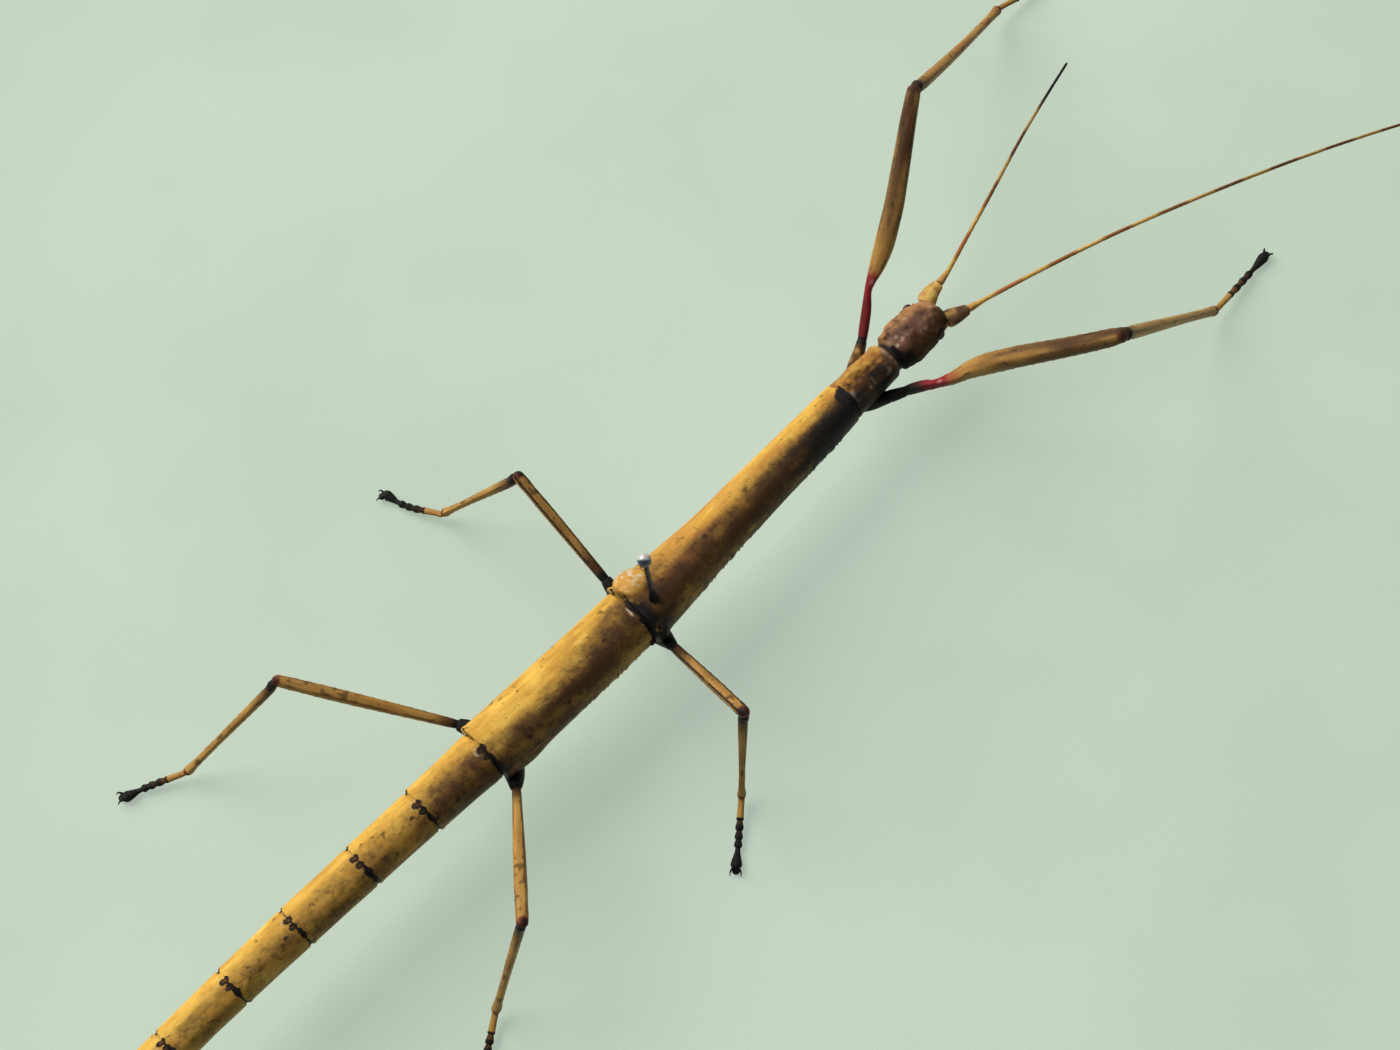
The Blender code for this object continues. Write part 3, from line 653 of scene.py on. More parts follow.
def shell_materials():
    """A material and a slot name for each kind of surface."""
    looks = {}
    for name, (slot, *settings) in SHELLS.items():
        looks[name] = (cuticle(f"{name}_shell", *settings), slot)
    looks["eye"] = (eye_material(), "eye")
    looks["wire"] = (pin_steel(), "pin_steel")
    looks["ball"] = (pin_enamel(), "pin_glass")
    return looks


# ---------------------------------------------------------------- trunk

# How brown the shell is, from the right side over the back to the left side: partly its own brown
# band, partly painted shade on the side turned from the light.
ROUND_BACK = (-1.0, -0.6, -0.3, -0.1, 0.1, 0.3, 0.5, 0.7, 1.0)
# Each row: joint it is measured from, millimetres behind it, and the browns.
BACK_BROWN_AND_SHADE = (
    (1, 2.0, (0.8, 0.9, 1.0, 1.0, 0.85, 0.55, 0.3, 0.2, 0.15)),
    (1, 20.0, (0.8, 0.95, 1.0, 1.0, 0.95, 0.75, 0.3, 0.15, 0.1)),
    (1, 34.0, (0.6, 0.7, 0.8, 0.88, 0.8, 0.6, 0.2, 0.05, 0.02)),
    (2, -5.0, (0.78, 0.82, 0.88, 0.9, 0.88, 0.75, 0.6, 0.5, 0.4)),
    (2, 5.0, (0.45, 0.6, 0.88, 1.0, 0.88, 0.78, 0.6, 0.25, 0.1)),
    (2, 17.0, (0.75, 0.76, 0.8, 0.8, 0.72, 0.35, 0.1, 0.0, 0.0)),
    (3, -3.0, (0.75, 0.75, 0.78, 0.78, 0.66, 0.3, 0.05, 0.0, 0.0)),
    (3, 5.0, (0.78, 0.8, 0.8, 0.82, 0.78, 0.7, 0.45, 0.25, 0.1)),
    (3, 17.0, (0.55, 0.55, 0.55, 0.52, 0.5, 0.38, 0.25, 0.1, 0.03)),
    (3, 30.0, (0.55, 0.65, 0.65, 0.62, 0.58, 0.5, 0.4, 0.12, 0.03)),
    (3, 42.0, (0.5, 0.52, 0.55, 0.6, 0.6, 0.52, 0.35, 0.1, 0.03)),
    (3, 85.0, (0.45, 0.45, 0.5, 0.5, 0.48, 0.4, 0.25, 0.1, 0.03)),
)
# Turn of the measure round the back towards the upper left, where the light comes from, so that the
# painted shade in the browns and joint bands falls on the side turned from it.
SADDLE_TURN = 0.33


def back_brown_and_shade(y, angle, joints):
    """Share of brown and painted shade at each place, from the rows of the table above."""
    around = np.cos(angle - SADDLE_TURN)
    rows = np.array([np.interp(around[0], ROUND_BACK, row[2]) for row in BACK_BROWN_AND_SHADE])
    at = np.array([joints[row[0]] + row[1] for row in BACK_BROWN_AND_SHADE])
    place = np.clip(np.searchsorted(at, y[:, 0]), 1, len(at) - 1)
    t = ramp(at[place - 1], at[place], y[:, 0])[:, None]
    return mix(rows[place - 1], rows[place], t)


def trunk_profile(frame):
    """Joints and smooth centre, half width, back and belly of the trunk, from the solids."""
    joints, pieces = [], []
    for node in TRUNK:
        low, high, _ = box_mm(node)
        front, rear = low[1], high[1]
        joints = joints[:-1] + [0.5 * (joints[-1] + front) if joints else front, rear]
        faces = triangles(frame, node)
        samples = []
        for y in np.linspace(front + 0.7, rear - min(2.6, 0.4 * (rear - front)), 30):
            at = np.array([0.0, y, AXIS_HEIGHT])
            middle, wide, deep = cut_across(faces, at, Y_AXIS, X_AXIS, Z_AXIS)
            samples.append((y, middle[0], wide, middle[2] + deep, middle[2] - deep))
        samples = np.array(samples)
        share = 1.6 / (samples[1, 0] - samples[0, 0])
        samples[:, 1:] = smoothed(samples[:, 1:], max(1.0, share))
        pieces.append(samples)
    return joints, pieces


def trunk_rows(joints):
    """Places of the rings along the trunk, close together at each joint."""
    rows = list(np.arange(joints[0], joints[-1], TRUNK_STEP))
    for joint in joints[1:-1]:
        rows += list(np.arange(joint - 0.9, joint + 0.9, JOINT_STEP))
    rows = np.unique(np.round(rows, 3))
    return rows[np.concatenate([[True], np.diff(rows) > 0.03])]


def trunk_sizes(rows, joints, pieces):
    """Centre, half width, back and belly at each row, stepping where one segment ends."""
    table = np.zeros((len(rows), 4))
    for k, samples in enumerate(pieces):
        inside = (rows >= joints[k]) & (rows <= joints[k + 1])
        y, at = rows[inside], samples[:, 0]
        for column, values in enumerate(samples[:, 1:].T):
            slope_a = (values[3] - values[0]) / (at[3] - at[0])
            slope_b = (values[-1] - values[-6]) / (at[-1] - at[-6])
            found = np.interp(y, at, values)
            found += np.minimum(0.0, y - at[0]) * slope_a
            found += np.maximum(0.0, y - at[-1]) * slope_b
            table[inside, column] = found
    return table


def joint_relief(offset, depth):
    """How a ring joint stands out or lies in, by the distance behind it."""
    rim = 0.07 * bump(offset, -0.42, 0.3) * ramp(0.0, -0.16, offset)
    groove = -depth * ramp(-0.14, -0.02, offset) * ramp(0.46, 0.3, offset)
    collar = -0.06 * ramp(-0.05, 0.1, offset) * ramp(1.5, 0.4, offset)
    next_rim = 0.05 * bump(offset, 0.62, 0.16)
    return rim + groove + collar + next_rim


def from_boss(y, u, rear):
    """How far from the swellings beside the rear joint of the mesothorax, 1 on their edge."""
    return ellipse((y - rear + 2.75) / 2.7, (abs(u) - 0.5) / 0.55)


def trunk_relief(y, angle, u, joints):
    """Rims, keels, furrows, swellings and side teeth of the trunk. u runs from side to side."""
    front, first, second, third = joints[:4]
    upper = ramp(-0.1, 0.5, np.sin(angle))
    relief = np.zeros(np.broadcast(y, angle).shape)
    for joint, depth in zip(joints[1:-1], GROOVE_DEPTHS):
        relief += joint_relief(y - joint, depth)
    # saddle plate of the prothorax
    t = (y - front) / (first - front)
    here = window(t, -0.02, 0.02, 0.98, 1.02)
    relief += here * 0.2 * bump(t, 0.07, 0.055) * upper
    relief -= here * 0.22 * bump(u, 0.0, 0.08) * upper * bump(t, 0.5, 0.36)
    relief -= here * 0.26 * bump(t, 0.46, 0.07) * upper * ramp(0.95, 0.5, abs(u))
    relief += here * 0.24 * bump(abs(u), 0.5, 0.24) * bump(t, 0.28, 0.13) * upper
    relief += here * 0.2 * bump(abs(u), 0.42, 0.28) * bump(t, 0.74, 0.15) * upper
    relief -= here * 0.12 * bump(abs(u), 0.88, 0.08) * upper
    # swellings at the rear of the mesothorax, high on the left only
    away = from_boss(y, u, second)
    boss = (0.85 * quarter(away) - 0.28 * bump(away, 1.08, 0.12)) * upper
    relief += boss * mix(0.08, 1.0, ramp(-0.1, 0.3, u))
    # leg sockets, and the middle keel
    flanks = bump(angle, math.pi + 0.2, 0.3) + bump(angle, 2.0 * math.pi - 0.2, 0.3)
    relief += 0.42 * (bump(y, third - 4.6, 3.2) * flanks)
    relief += 0.62 * (bump(y, second - 1.35, 0.95) * bump(angle, math.pi + 0.05, 0.42))
    keel = ramp(first + 1.0, first + 4.0, y) * bump(u, 0.0, 0.04) * upper
    relief += 0.06 * keel * ramp(second + 34.0, second + 26.0, y)
    return relief + side_teeth(y, angle, first)[0]


def side_teeth(y, angle, start):
    """Small teeth along each flank of the thorax: their relief, and how dark they are."""
    full = 2.0 * math.pi
    lines = ((full, 0.12), (0.0, 0.12), (math.pi, 0.12), (math.pi + 0.36, 0.1), (full - 0.36, 0.1))
    keel = sum(bump(angle, *line) for line in lines)
    beat = (y - start) / 1.3 + 0.35 * np.sin(1.9 * y) + 0.4 * np.cos(angle)
    tooth = bump(beat - np.round(beat), 0.0, 0.2)
    strength = window(y, start + 1.5, start + 4.0, start + 60.0, start + 90.0)
    size = 0.55 + 0.45 * np.sin(12.9 * np.round(beat))
    return keel * strength * (0.03 + 0.2 * tooth * size), keel * strength * tooth * size


def joint_marks(k, offset, around, coarse, fine):
    """Black, red and pale marks of one ring joint, by the distance behind it."""
    line = window(offset, -0.12, -0.02, 0.2, 0.36)
    # The joint line darkens on the side turned from the light: partly its own black, partly painted
    # shade in the groove.
    dark = line * (0.42 + 0.45 * ramp(0.5, 0.2, around) + 0.3 * coarse)
    if k == 0:
        return dark, 0.0, 0.0
    dot = 0.95 * ramp(1.2, 0.6, ellipse(offset / 0.42, (around - 0.95) / 0.04))
    if k == 1:
        # The black band reaches out to the right: partly its own black, partly painted shadow of
        # the raised rim.
        reach = 0.75 + 0.9 * bump(around, -0.1, 0.35) + 0.8 * coarse + 0.6 * fine
        band = ramp(0.5, 0.38, around + 0.2 * fine) * ramp(-reach, -reach + 0.25, offset)
        band = band * ramp(0.75, 0.4, offset - 0.5 * fine - 0.4 * coarse)
        pale = bump(offset, 0.9, 0.26) * ramp(0.0, 0.08, around) * ramp(0.42, 0.3, around)
        pale = pale + 0.6 * bump(offset, 0.75, 0.2) * bump(around, -0.35, 0.12)
        return most(dark, band, dot), 0.0, pale * (0.75 + 0.5 * fine)
    centre = min(0.25 + 0.12 * (k - 2), 0.46)
    first = ellipse((offset - 0.3) / 0.78, (around - centre) / 0.12)
    second = ellipse((offset - 0.35) / 0.7, (around - centre + 0.3) / 0.12)
    near = np.minimum(first, second) + 0.15 * fine
    spots = ramp(1.1, 0.85, near)
    # The band runs out to the right: partly its own black, partly painted shadow of the raised rim.
    width = 0.16 + 0.3 * bump(around, centre - 0.75, 0.2) + 0.25 * coarse + 0.2 * fine
    band = ramp(centre - 0.3, centre - 0.4, around) * ramp(width + 0.2, width, abs(offset - 0.1))
    ring = bump(near, 1.45, 0.2) * ramp(centre - 0.3, centre + 0.05, around)
    ring = ring * ramp(-0.6, 0.1, offset)
    rim = spots * (0.5 + 0.4 * ramp(0.35, 0.8, near))
    dark = most(dark, rim, band * (0.85 + 0.3 * fine), dot)
    return dark, spots, 0.85 * ring * (0.8 + 0.4 * fine)


def trunk_tints(y, angle, u, points, joints):
    """Black, rust, bloom and umber pigments of the trunk, with painted shade and painted shadow
    laid in among them.
    """
    front, first, second, third = joints[:4]
    height = np.sin(angle)
    upper = ramp(-0.35, 0.1, height)
    coarse, fine = grain(points, 1.4, 3), grain(points, 0.5, 4)
    cloudy = grain(points, 1.6, 8, (1.0, 0.3, 1.0))
    body = ramp(first, first + 2.0, y)
    # brown of the back, partly its own brown band and partly painted shade on the side turned from
    # the light; painted shadow and a dark wedge behind the prothorax
    brown = back_brown_and_shade(y, angle, joints) * (0.92 + 0.24 * cloudy + 0.16 * coarse)
    rusty = ramp(second + 1.0, second - 1.0, y)
    behind = y - first
    shadow = window(behind, -0.8, -0.1, 4.0, 27.0) * ramp(0.3, -0.25, u - 0.12 * cloudy)
    wedge = ramp(0.0, 0.3, 0.8 * ramp(3.6, -0.4, behind) + 0.2 * coarse - abs(u + 0.1))
    wedge = wedge * ramp(-0.5, -0.1, behind) * ramp(4.0, 1.0, behind)
    # ring joints
    around = np.cos(angle - SADDLE_TURN)
    marks = [joint_marks(k, y - j, around, coarse, fine) for k, j in enumerate(joints[1:-1])]
    black, scarlet, white = (most(*values) for values in zip(*marks))
    # saddle plate of the prothorax
    saddle = window(y, front - 0.5, front, first, first + 0.3)
    t = (y - front) / (first - front)
    # darker on its right half, along its right edge and in its furrow: partly mottling, partly
    # painted shade
    smudge_and_shade = bump(t, 0.36, 0.22) * bump(u, -0.4, 0.4)
    smudge_and_shade = smudge_and_shade + 0.8 * bump(t, 0.85, 0.2) * bump(u, -0.6, 0.4)
    smudge_and_shade = smudge_and_shade + 0.8 * ramp(-0.72, -0.92, u) + 0.5 * bump(t, 0.47, 0.05) * bump(u, 0.1, 0.5)
    # swellings at the rear of the mesothorax, and the dark corner before its joint; the right
    # swelling and the corner are darkened partly by pigment, partly by painted shade and the pin's
    # painted shadow
    away = from_boss(y, u, second)
    left = ramp(-0.1, 0.3, u)
    cap = ramp(1.0, 0.65, away) * upper * left
    corner = bump(y, second - 1.6, 1.6) * ramp(-0.35, -0.8, u)
    # leg sockets, side seams and belly
    flank = window(height, -0.9, -0.5, -0.25, 0.2)
    sockets = [flank * bump(y, end - 1.7, 2.0) * (0.75 + 0.3 * fine) for end in (second, third)]
    seam = bump(angle, math.pi - 0.42 - 0.02 * (y - third), 0.07) * ramp(-10.0, -7.0, y - third)
    belly = ramp(-0.5, -0.9, height)

    dark = most(
        0.9 * shadow * (0.8 + 0.2 * cloudy),
        0.5 * body * ramp(0.56, 0.8, grain(points, 0.6, 9)),
        black * upper,
        wedge * upper,
        saddle * smudge_and_shade * (0.5 + 0.45 * coarse) * upper,
    )
    dark = most(
        dark * (1.0 - cap * ramp(1.0, 0.8, away)),
        # the right swelling darkened: partly pigment, partly painted shade and the pin's painted
        # shadow
        0.5 * ramp(1.5, 0.7, away) * ramp(0.1, -0.25, u) * (0.8 + 0.4 * coarse),
        0.5 * bump(away, 1.14, 0.12) * upper * left * (0.6 + 0.6 * fine),
        corner * (0.6 + 0.35 * fine),
        *sockets,
        0.85 * seam * ramp(0.6, 0.0, y - third) * (0.8 + 0.5 * fine),
        0.8 * side_teeth(y, angle, first)[1],
    )
    red = most(
        body * (0.1 + 0.36 * rusty) * ramp(-1.0, 0.6, cloudy),
        0.75 * body * bump(y, second - 10.0, 8.0) * bump(u, -0.2, 0.4),
        scarlet,
        saddle * (0.62 + 0.35 * coarse),
    )
    red = most(red * (1.0 - 0.5 * cap), 0.42 * cap)
    pale = most(
        white * upper,
        saddle * upper * 0.55 * ramp(-0.1, 0.8, 0.5 * fine + 0.7 * coarse),
        0.5 * saddle * bump(t, 0.06, 0.07) * upper * (0.8 + 0.4 * fine),
        cap * (0.2 + 0.6 * ramp(0.05, 0.5, fine)),
        0.4 * corner * ramp(0.1, 0.6, coarse),
    )
    umber = most(
        body * (brown + 0.14 * ramp(-0.1, 0.8, fine)),
        0.7 * bump(y, third - 3.0, 2.6) * ramp(-0.6, -0.8, u),
        # the prothorax browner on its right half: partly its own tone, partly painted shade
        saddle * (0.3 + 0.7 * ramp(0.25, -0.4, u + 0.35 * coarse) + 0.35 * fine),
    )
    umber = most(
        umber * (1.0 - 0.85 * cap),
        # the right swelling browned: partly pigment, partly painted shade
        ramp(1.9, 0.8, away) * ramp(0.05, -0.2, u) * (0.85 + 0.3 * coarse),
        0.5 * belly * ramp(-0.2, 0.6, coarse),
    )
    return tints(dark.shape, dark, red, pale, umber)


def trunk(frame, looks):
    """One skin from the front of the prothorax to the tip of the abdomen, neck included."""
    joints, pieces = trunk_profile(frame)
    rows = trunk_rows(joints)
    sizes = trunk_sizes(rows, joints, pieces)
    centre, wide, back, belly = (sizes[:, k : k + 1] for k in range(4))
    angle, across, upward = section(TRUNK_SIDES, TRUNK_POWER)
    y = rows[:, None]
    middle = 0.52 * belly + 0.48 * back
    ends = ramp(joints[0] - 0.01, joints[0] + 0.5, y) * 0.35 - 0.35
    ends = ends - 0.9 * ramp(joints[-1] - 1.3, joints[-1], y) ** 2
    more = trunk_relief(y, angle, across, joints) + ends
    half = wide + more
    rise = np.where(upward > 0, back - middle, middle - belly) + more
    points = np.stack(
        np.broadcast_arrays(centre + half * across, y, middle + rise * upward), axis=-1
    )
    saddle = window(y, joints[0], joints[0] + 1.0, joints[1] - 1.0, joints[1])
    saddle = saddle * ramp(-0.2, 0.3, upward)
    lumps = 0.05 * grain(points, 2.2, 5, (1.0, 0.35, 1.0))
    lumps = lumps + saddle * (0.13 * grain(points, 1.5, 6) + 0.05 * grain(points, 0.6, 7))
    points[..., 0] += lumps * across
    points[..., 2] += lumps * upward
    unrolled = y + 3.0 * np.minimum(0.0, y - joints[1])
    lay = np.stack(np.broadcast_arrays(half * across, rise * upward, unrolled), axis=-1)
    masks = trunk_tints(y, angle, across, points, joints)
    row = int(np.searchsorted(rows, joints[2] + 0.75))
    knob = (sizes[row, 0] - 0.97 * sizes[row, 1], rows[row], middle[row, 0] - 0.4)
    parts = [closed_part(points, lay, masks), neck(joints[0], sizes[0])]
    parts.append(ball_part(knob, (0.62, 0.72, 0.8), dark=0.97))
    # dark crust on the pin where it enters the back, widening towards its foot: partly a real
    # crust, partly painted shadow of the pin
    low, _, entry = box_mm("pin_shaft")
    row = int(np.searchsorted(rows, low[1]))
    entry[2] = middle[row, 0]
    top = entry + (0.0, 0.0, sizes[row, 2] - middle[row, 0])
    crust = [top - (0.0, 0.0, 1.0), top + (0.0, 0.0, 0.1)]
    crust += [top + (0.03, 0.03, 1.4), top + (0.06, 0.06, 3.2)]
    parts.append(lobe(crust, [(1.0, 1.0), (0.72, 0.7), (0.5, 0.48), (0.4, 0.4)], 0.95))
    skin("trunk", parts, looks["trunk"], TRUNK + ["neck"])


def neck(start, size):
    """Soft dark collar between the head and the prothorax."""
    rows = np.arange(box_mm("neck")[0][1] - 1.2, start + 1.6, 0.12)
    path = np.stack([np.full(len(rows), size[0]), rows, np.full(len(rows), AXIS_HEIGHT)], axis=1)
    pleats = NECK_RADIUS + 0.09 * np.cos(rows * 7.0)
    part = tube(path, pleats, 0.88 * pleats, rows, power=2.2, sides=60)
    aside = part["points"][:, 0] - size[0]
    part["tint"][:, 0] = mix(0.72, 0.97, ramp(1.6, 0.2, aside))
    return part


# ---------------------------------------------------------------- head


def head_share(t, stations, brow, nape):
    """A share of the head's greatest size, rounded off at the brow and the nape."""
    brow = quarter(np.clip(1.0 - t / brow, 0.0, 1.0))
    nape = quarter(np.clip((t - nape[0]) / nape[1], 0.0, 1.0))
    return rounded(t, stations) * mix(0.5, 1.0, brow) * mix(0.45, 1.0, nape)


def head(looks):
    """Box-shaped head with cheeks, nape lobes, eye rings and feeler sockets."""
    low, high, centre = box_mm("head")
    size = high - low
    axis_z = low[2] + size[2] * HEAD_AXIS
    t = 0.5 - 0.5 * np.cos(np.linspace(0.02, math.pi - 0.02, HEAD_ROWS))
    t = mix(t, np.linspace(0.0, 1.0, HEAD_ROWS), 0.55)[:, None]
    _, across, upward = section(HEAD_SIDES, HEAD_POWER)
    half = 0.5 * size[0] * head_share(t, HEAD_WIDTHS, 0.07, (0.95, 0.05))
    tall = np.where(upward > 0, high[2] - axis_z, axis_z - low[2])
    tall = tall * head_share(t, HEAD_HEIGHTS, 0.1, (0.93, 0.07))
    place = (centre[0] + half * across, low[1] + size[1] * t, axis_z + tall * upward)
    points = np.stack(np.broadcast_arrays(*place), axis=-1)
    normal = np.stack(np.broadcast_arrays(across, 0.0 * t, upward), axis=-1)
    normal = normal / np.linalg.norm(normal, axis=-1, keepdims=True)
    more, dark = head_relief(points, t, across, upward)
    points = points + normal * more[..., None]
    lay = (points - centre)[..., [0, 2, 1]]
    coarse, broad, fine = grain(points, 1.1, 11), grain(points, 2.6, 12), grain(points, 0.45, 13)
    # The head's own mottling, with rust and pale laid heavier on the left and top and umber on the
    # right: partly painted light on the left and top, partly painted shade on the right.
    top = ramp(0.0, 0.5, upward)
    rust = 0.66 * ramp(-0.2, 0.9, across + 0.5 * broad + 0.4 * coarse)
    rust = rust + 0.3 * ramp(0.0, 0.6, coarse) + 0.45 * ramp(0.3, 0.1, t)
    grey = ramp(0.55, 0.9, t) * ramp(0.2, 0.7, upward) * bump(across, 0.1, 0.45)
    pale = 0.36 * grey * (0.7 + 0.6 * fine)
    pale = pale + 0.4 * ramp(0.1, 0.8, coarse) * top * ramp(-0.6, 0.2, across)
    pale = pale + 0.22 * ramp(0.15, 0.6, fine) * top
    umber = 0.85 * ramp(0.1, -0.8, across + 0.4 * broad) + 0.5 * ramp(0.0, 0.6, -coarse)
    umber = umber + 0.35 * ramp(0.1, 0.6, -fine)
    part = closed_part(points, lay, tints(dark.shape, dark, rust, pale, umber))
    skin("head_capsule", [part], looks["head"], ["head"])


def head_relief(points, t, across, upward):
    """Relief of the head, and where it is darker."""
    top = ramp(0.0, 0.6, upward)
    side = ramp(0.75, 0.95, abs(across))
    more = -0.1 * bump(across, 0.0, 0.04) * ramp(0.3, 0.45, t) * ramp(1.0, 0.92, t) * top
    more += 0.3 * bump(abs(across), 0.5, 0.3) * bump(t, 0.8, 0.13) * top
    more -= 0.24 * bump(across, 0.0, 0.18) * bump(t, 0.93, 0.07) * top
    more -= 0.16 * bump(t, 0.5, 0.05) * bump(abs(across), 0.45, 0.35) * top
    more += 0.2 * bump(t, 0.17, 0.06) * bump(across, 0.0, 0.45) * top
    more -= 0.16 * bump(t, 0.3, 0.05) * bump(across, 0.0, 0.3) * top
    more += 0.14 * bump(t, 0.955, 0.02)
    more -= 0.16 * side * bump(upward, -0.1, 0.1) * ramp(0.38, 0.5, t) * ramp(1.0, 0.85, t)
    more += 0.075 * grain(points, 0.45, 21)
    more += 0.17 * grain(points, 1.3, 22)
    more += 0.09 * ramp(0.45, 0.75, grain(points, 0.62, 23)) * ramp(-0.5, 0.2, upward)
    dark = 0.35 * bump(across, 0.0, 0.05) * ramp(0.3, 0.45, t) * top
    dark += 0.4 * bump(t, 0.5, 0.05) * bump(abs(across), 0.45, 0.3) * top
    for eye in (node_middle(f"eye_{side}") for side in SIDES):
        away = np.linalg.norm((points - eye) / np.array([1.0, 1.05, 1.0]), axis=-1)
        more = more + 0.14 * bump(away, 1.25, 0.2) - 0.5 * ramp(0.95, 0.4, away)
        dark = dark + 0.7 * ramp(1.12, 0.95, away) + 0.2 * bump(away, 1.5, 0.3)
    # Darker at the nape, more so on the right, and along the right rear: painted shade.
    dark += 0.9 * ramp(0.94, 0.985, t) * mix(0.3, 1.0, ramp(0.4, -0.2, across))
    dark += 0.8 * bump(t, 0.9, 0.1) * ramp(-0.5, -0.8, across)
    return more, dark


def eyeball(side, looks):
    low, high, centre = box_mm(f"eye_{side}")
    part = ball_part(centre, 0.5 * (high - low) / EYE_SHARE, 48, 64)
    skin(f"eyeball_{side}", [part], looks["eye"], [f"eye_{side}"])


def mouthparts(looks):
    """Upper lip, jaws and lower lip under the brow."""
    (_, front, foot), (_, rear, top), (x, _, _) = box_mm("jaws")
    lip = [(x, rear + 0.2, top), (x, mix(rear, front, 0.55), mix(top, foot, 0.3)),
           (x, front + 0.25, mix(top, foot, 0.72))]
    parts = [lobe(lip, [(1.15, 0.35), (1.3, 0.3), (0.95, 0.2)], 0.0, 0.4)]
    for sign in (-1.0, 1.0):
        jaw = [(x + sign * 1.35, rear + 0.2, mix(top, foot, 0.25)),
               (x + sign * 1.15, front + 0.55, mix(top, foot, 0.62)),
               (x + sign * 0.42, front + 0.3, foot + 0.25)]
        parts.append(lobe(jaw, [(0.55, 0.6), (0.5, 0.5), (0.25, 0.25)], 0.35, 0.3))
        blade = [(x + sign * 0.95, rear + 0.5, mix(top, foot, 0.55)),
                 (x + sign * 0.75, front + 1.1, foot + 0.3),
                 (x + sign * 0.35, front + 0.8, foot + 0.12)]
        parts.append(lobe(blade, [(0.4, 0.4), (0.35, 0.3), (0.2, 0.15)], 0.0, 0.2))
    under = [(x, rear + 1.1, foot + 0.9), (x, front + 1.3, foot + 0.35)]
    parts.append(lobe(under, [(0.95, 0.45), (0.7, 0.22)], 0.2))
    skin("mouthparts", parts, looks["head"], ["jaws"])


def palps(frame, looks):
    """Five-jointed palps, tucked in under the front of the head."""
    head_x = node_middle("head")[0]
    for side in SIDES:
        raw = spine(frame, f"palp_{side}", node_middle("head"), 10, (0.03, 0.03))
        raw[:, 0] = head_x + 0.74 * (raw[:, 0] - head_x)
        raw[:, 1] += 0.5
        root = raw[0].copy()
        root[:3] = mix(raw[0, :3], node_middle("jaws"), 0.5) + (0.0, 0.5, 0.9)
        rows, at = resampled(np.vstack([root, raw]), 0.06)
        parts = []
        for a, b in zip(PALP_CUTS, PALP_CUTS[1:]):
            pick = (at >= (a - 0.035) * at[-1]) & (at <= (b + 0.02) * at[-1])
            own = at[pick] - at[pick][0]
            end = own[-1]
            swell = mix(0.8, 1.08, own / end) * domed(own, 0.06, 0.14)
            tone = (0.3 * ramp(0.8 * end, end, own), 0.4, 0.1)
            parts.append(tube(rows[pick, :3], 0.36 * swell, 0.34 * swell, own, tone, sides=20))
        skin(f"feeding_palp_{side}", parts, looks["feeler"], [f"palp_{side}"])


# ---------------------------------------------------------------- feelers


def feeler(frame, side, looks):
    """Broad scape, knob-like pedicel and a ringed, banded whip."""
    raw = spine(frame, f"antenna_{side}", node_middle("head"), 60, (0.004, 0.002))
    raw = extended(raw, SCAPE_INSIDE, 0.1)
    path, at = resampled(raw[:, :3], 0.12)
    at = at - SCAPE_INSIDE
    bow, reach = FEELER_NUDGE[side]
    nudge = window(at, 1.0, 7.0, 0.5 * reach, reach)
    path = path + nudge[:, None] * np.array(bow)
    whip = at > PEDICEL_END - 0.3
    own = at[whip]
    share = (own - own[0]) / (own[-1] - own[0])
    radius = mix(0.38, 0.21, share**0.7) + 0.1 * ramp(1.5, 0.0, own - own[0])
    phase = np.cumsum(np.gradient(own) / mix(0.9, 2.0, ramp(0.0, 0.5, share)))
    joint = np.abs((phase % 1.0) - 0.5) * 2.0
    radius = radius * (1.0 - 0.13 * ramp(0.8, 1.0, joint)) * domed(own, 0.1, 0.5)
    black = ramp(0.68, 0.92, share) if side == "left" else 0.4 * ramp(0.85, 1.0, share)
    bands = 0.5 + 0.5 * np.sin(2.0 * math.pi * (own / 9.5) + 1.2)
    brown = 0.36 + 0.42 * ramp(0.25, 0.7, bands)
    umber = 0.55 * brown * ramp(9.0, 20.0, own) + 0.24 * ramp(0.25, 0.6, share)
    tone = (most(black, 0.4 * ramp(0.84, 1.0, joint)), brown * ramp(5.0, 9.0, own), 0.0, umber)
    parts = [scape_part(path, at, SCAPE_BROWN[side]), pedicel_part(path, at)]
    parts.append(tube(path[whip], radius, radius, own, tone, sides=20))
    skin(f"feeler_{side}", parts, looks["feeler"], [f"antenna_{side}"])


def scape_part(path, at, brown):
    """Flattened first joint, broadest where it meets the head."""
    pick = at < SCAPE_END
    own = at[pick] + SCAPE_INSIDE
    end = own[-1]
    wide = rounded(own / end, ((0.0, 1.3), (0.2, 1.5), (0.5, 1.3), (0.8, 0.98), (1.0, 0.78)))
    wide = wide * domed(own, 0.3, 0.25)

    def relief(s, angle):
        across = np.cos(angle)
        return 0.07 * bump(across, 0.0, 0.2) + 0.06 * bump(abs(across), 0.95, 0.1)

    def tone(s, angle, lay):
        dark = 0.4 * ramp(end - 0.35, end, s) * bump(np.cos(angle), 0.3, 0.6)
        red = 0.6 * ramp(0.05, 0.45, grain(lay, 0.9, 61))
        return dark, red, 0.25, brown * (1.0 + 0.6 * grain(lay, 1.1, 62))

    return tube(path[pick], wide, 0.62 * wide, own, tone, relief, 2.3, 40)


def pedicel_part(path, at):
    pick = (at > SCAPE_END - 0.3) & (at < PEDICEL_END)
    own = at[pick] - at[pick][0]
    swell = rounded(own / own[-1], ((0.0, 0.6), (0.3, 0.62), (0.7, 0.52), (1.0, 0.44)))
    swell = swell * domed(own, 0.15, 0.15)
    return tube(path[pick], swell, swell, own, (0.45 * ramp(0.6, 0.1, own), 0.5), sides=32)


# ---------------------------------------------------------------- legs


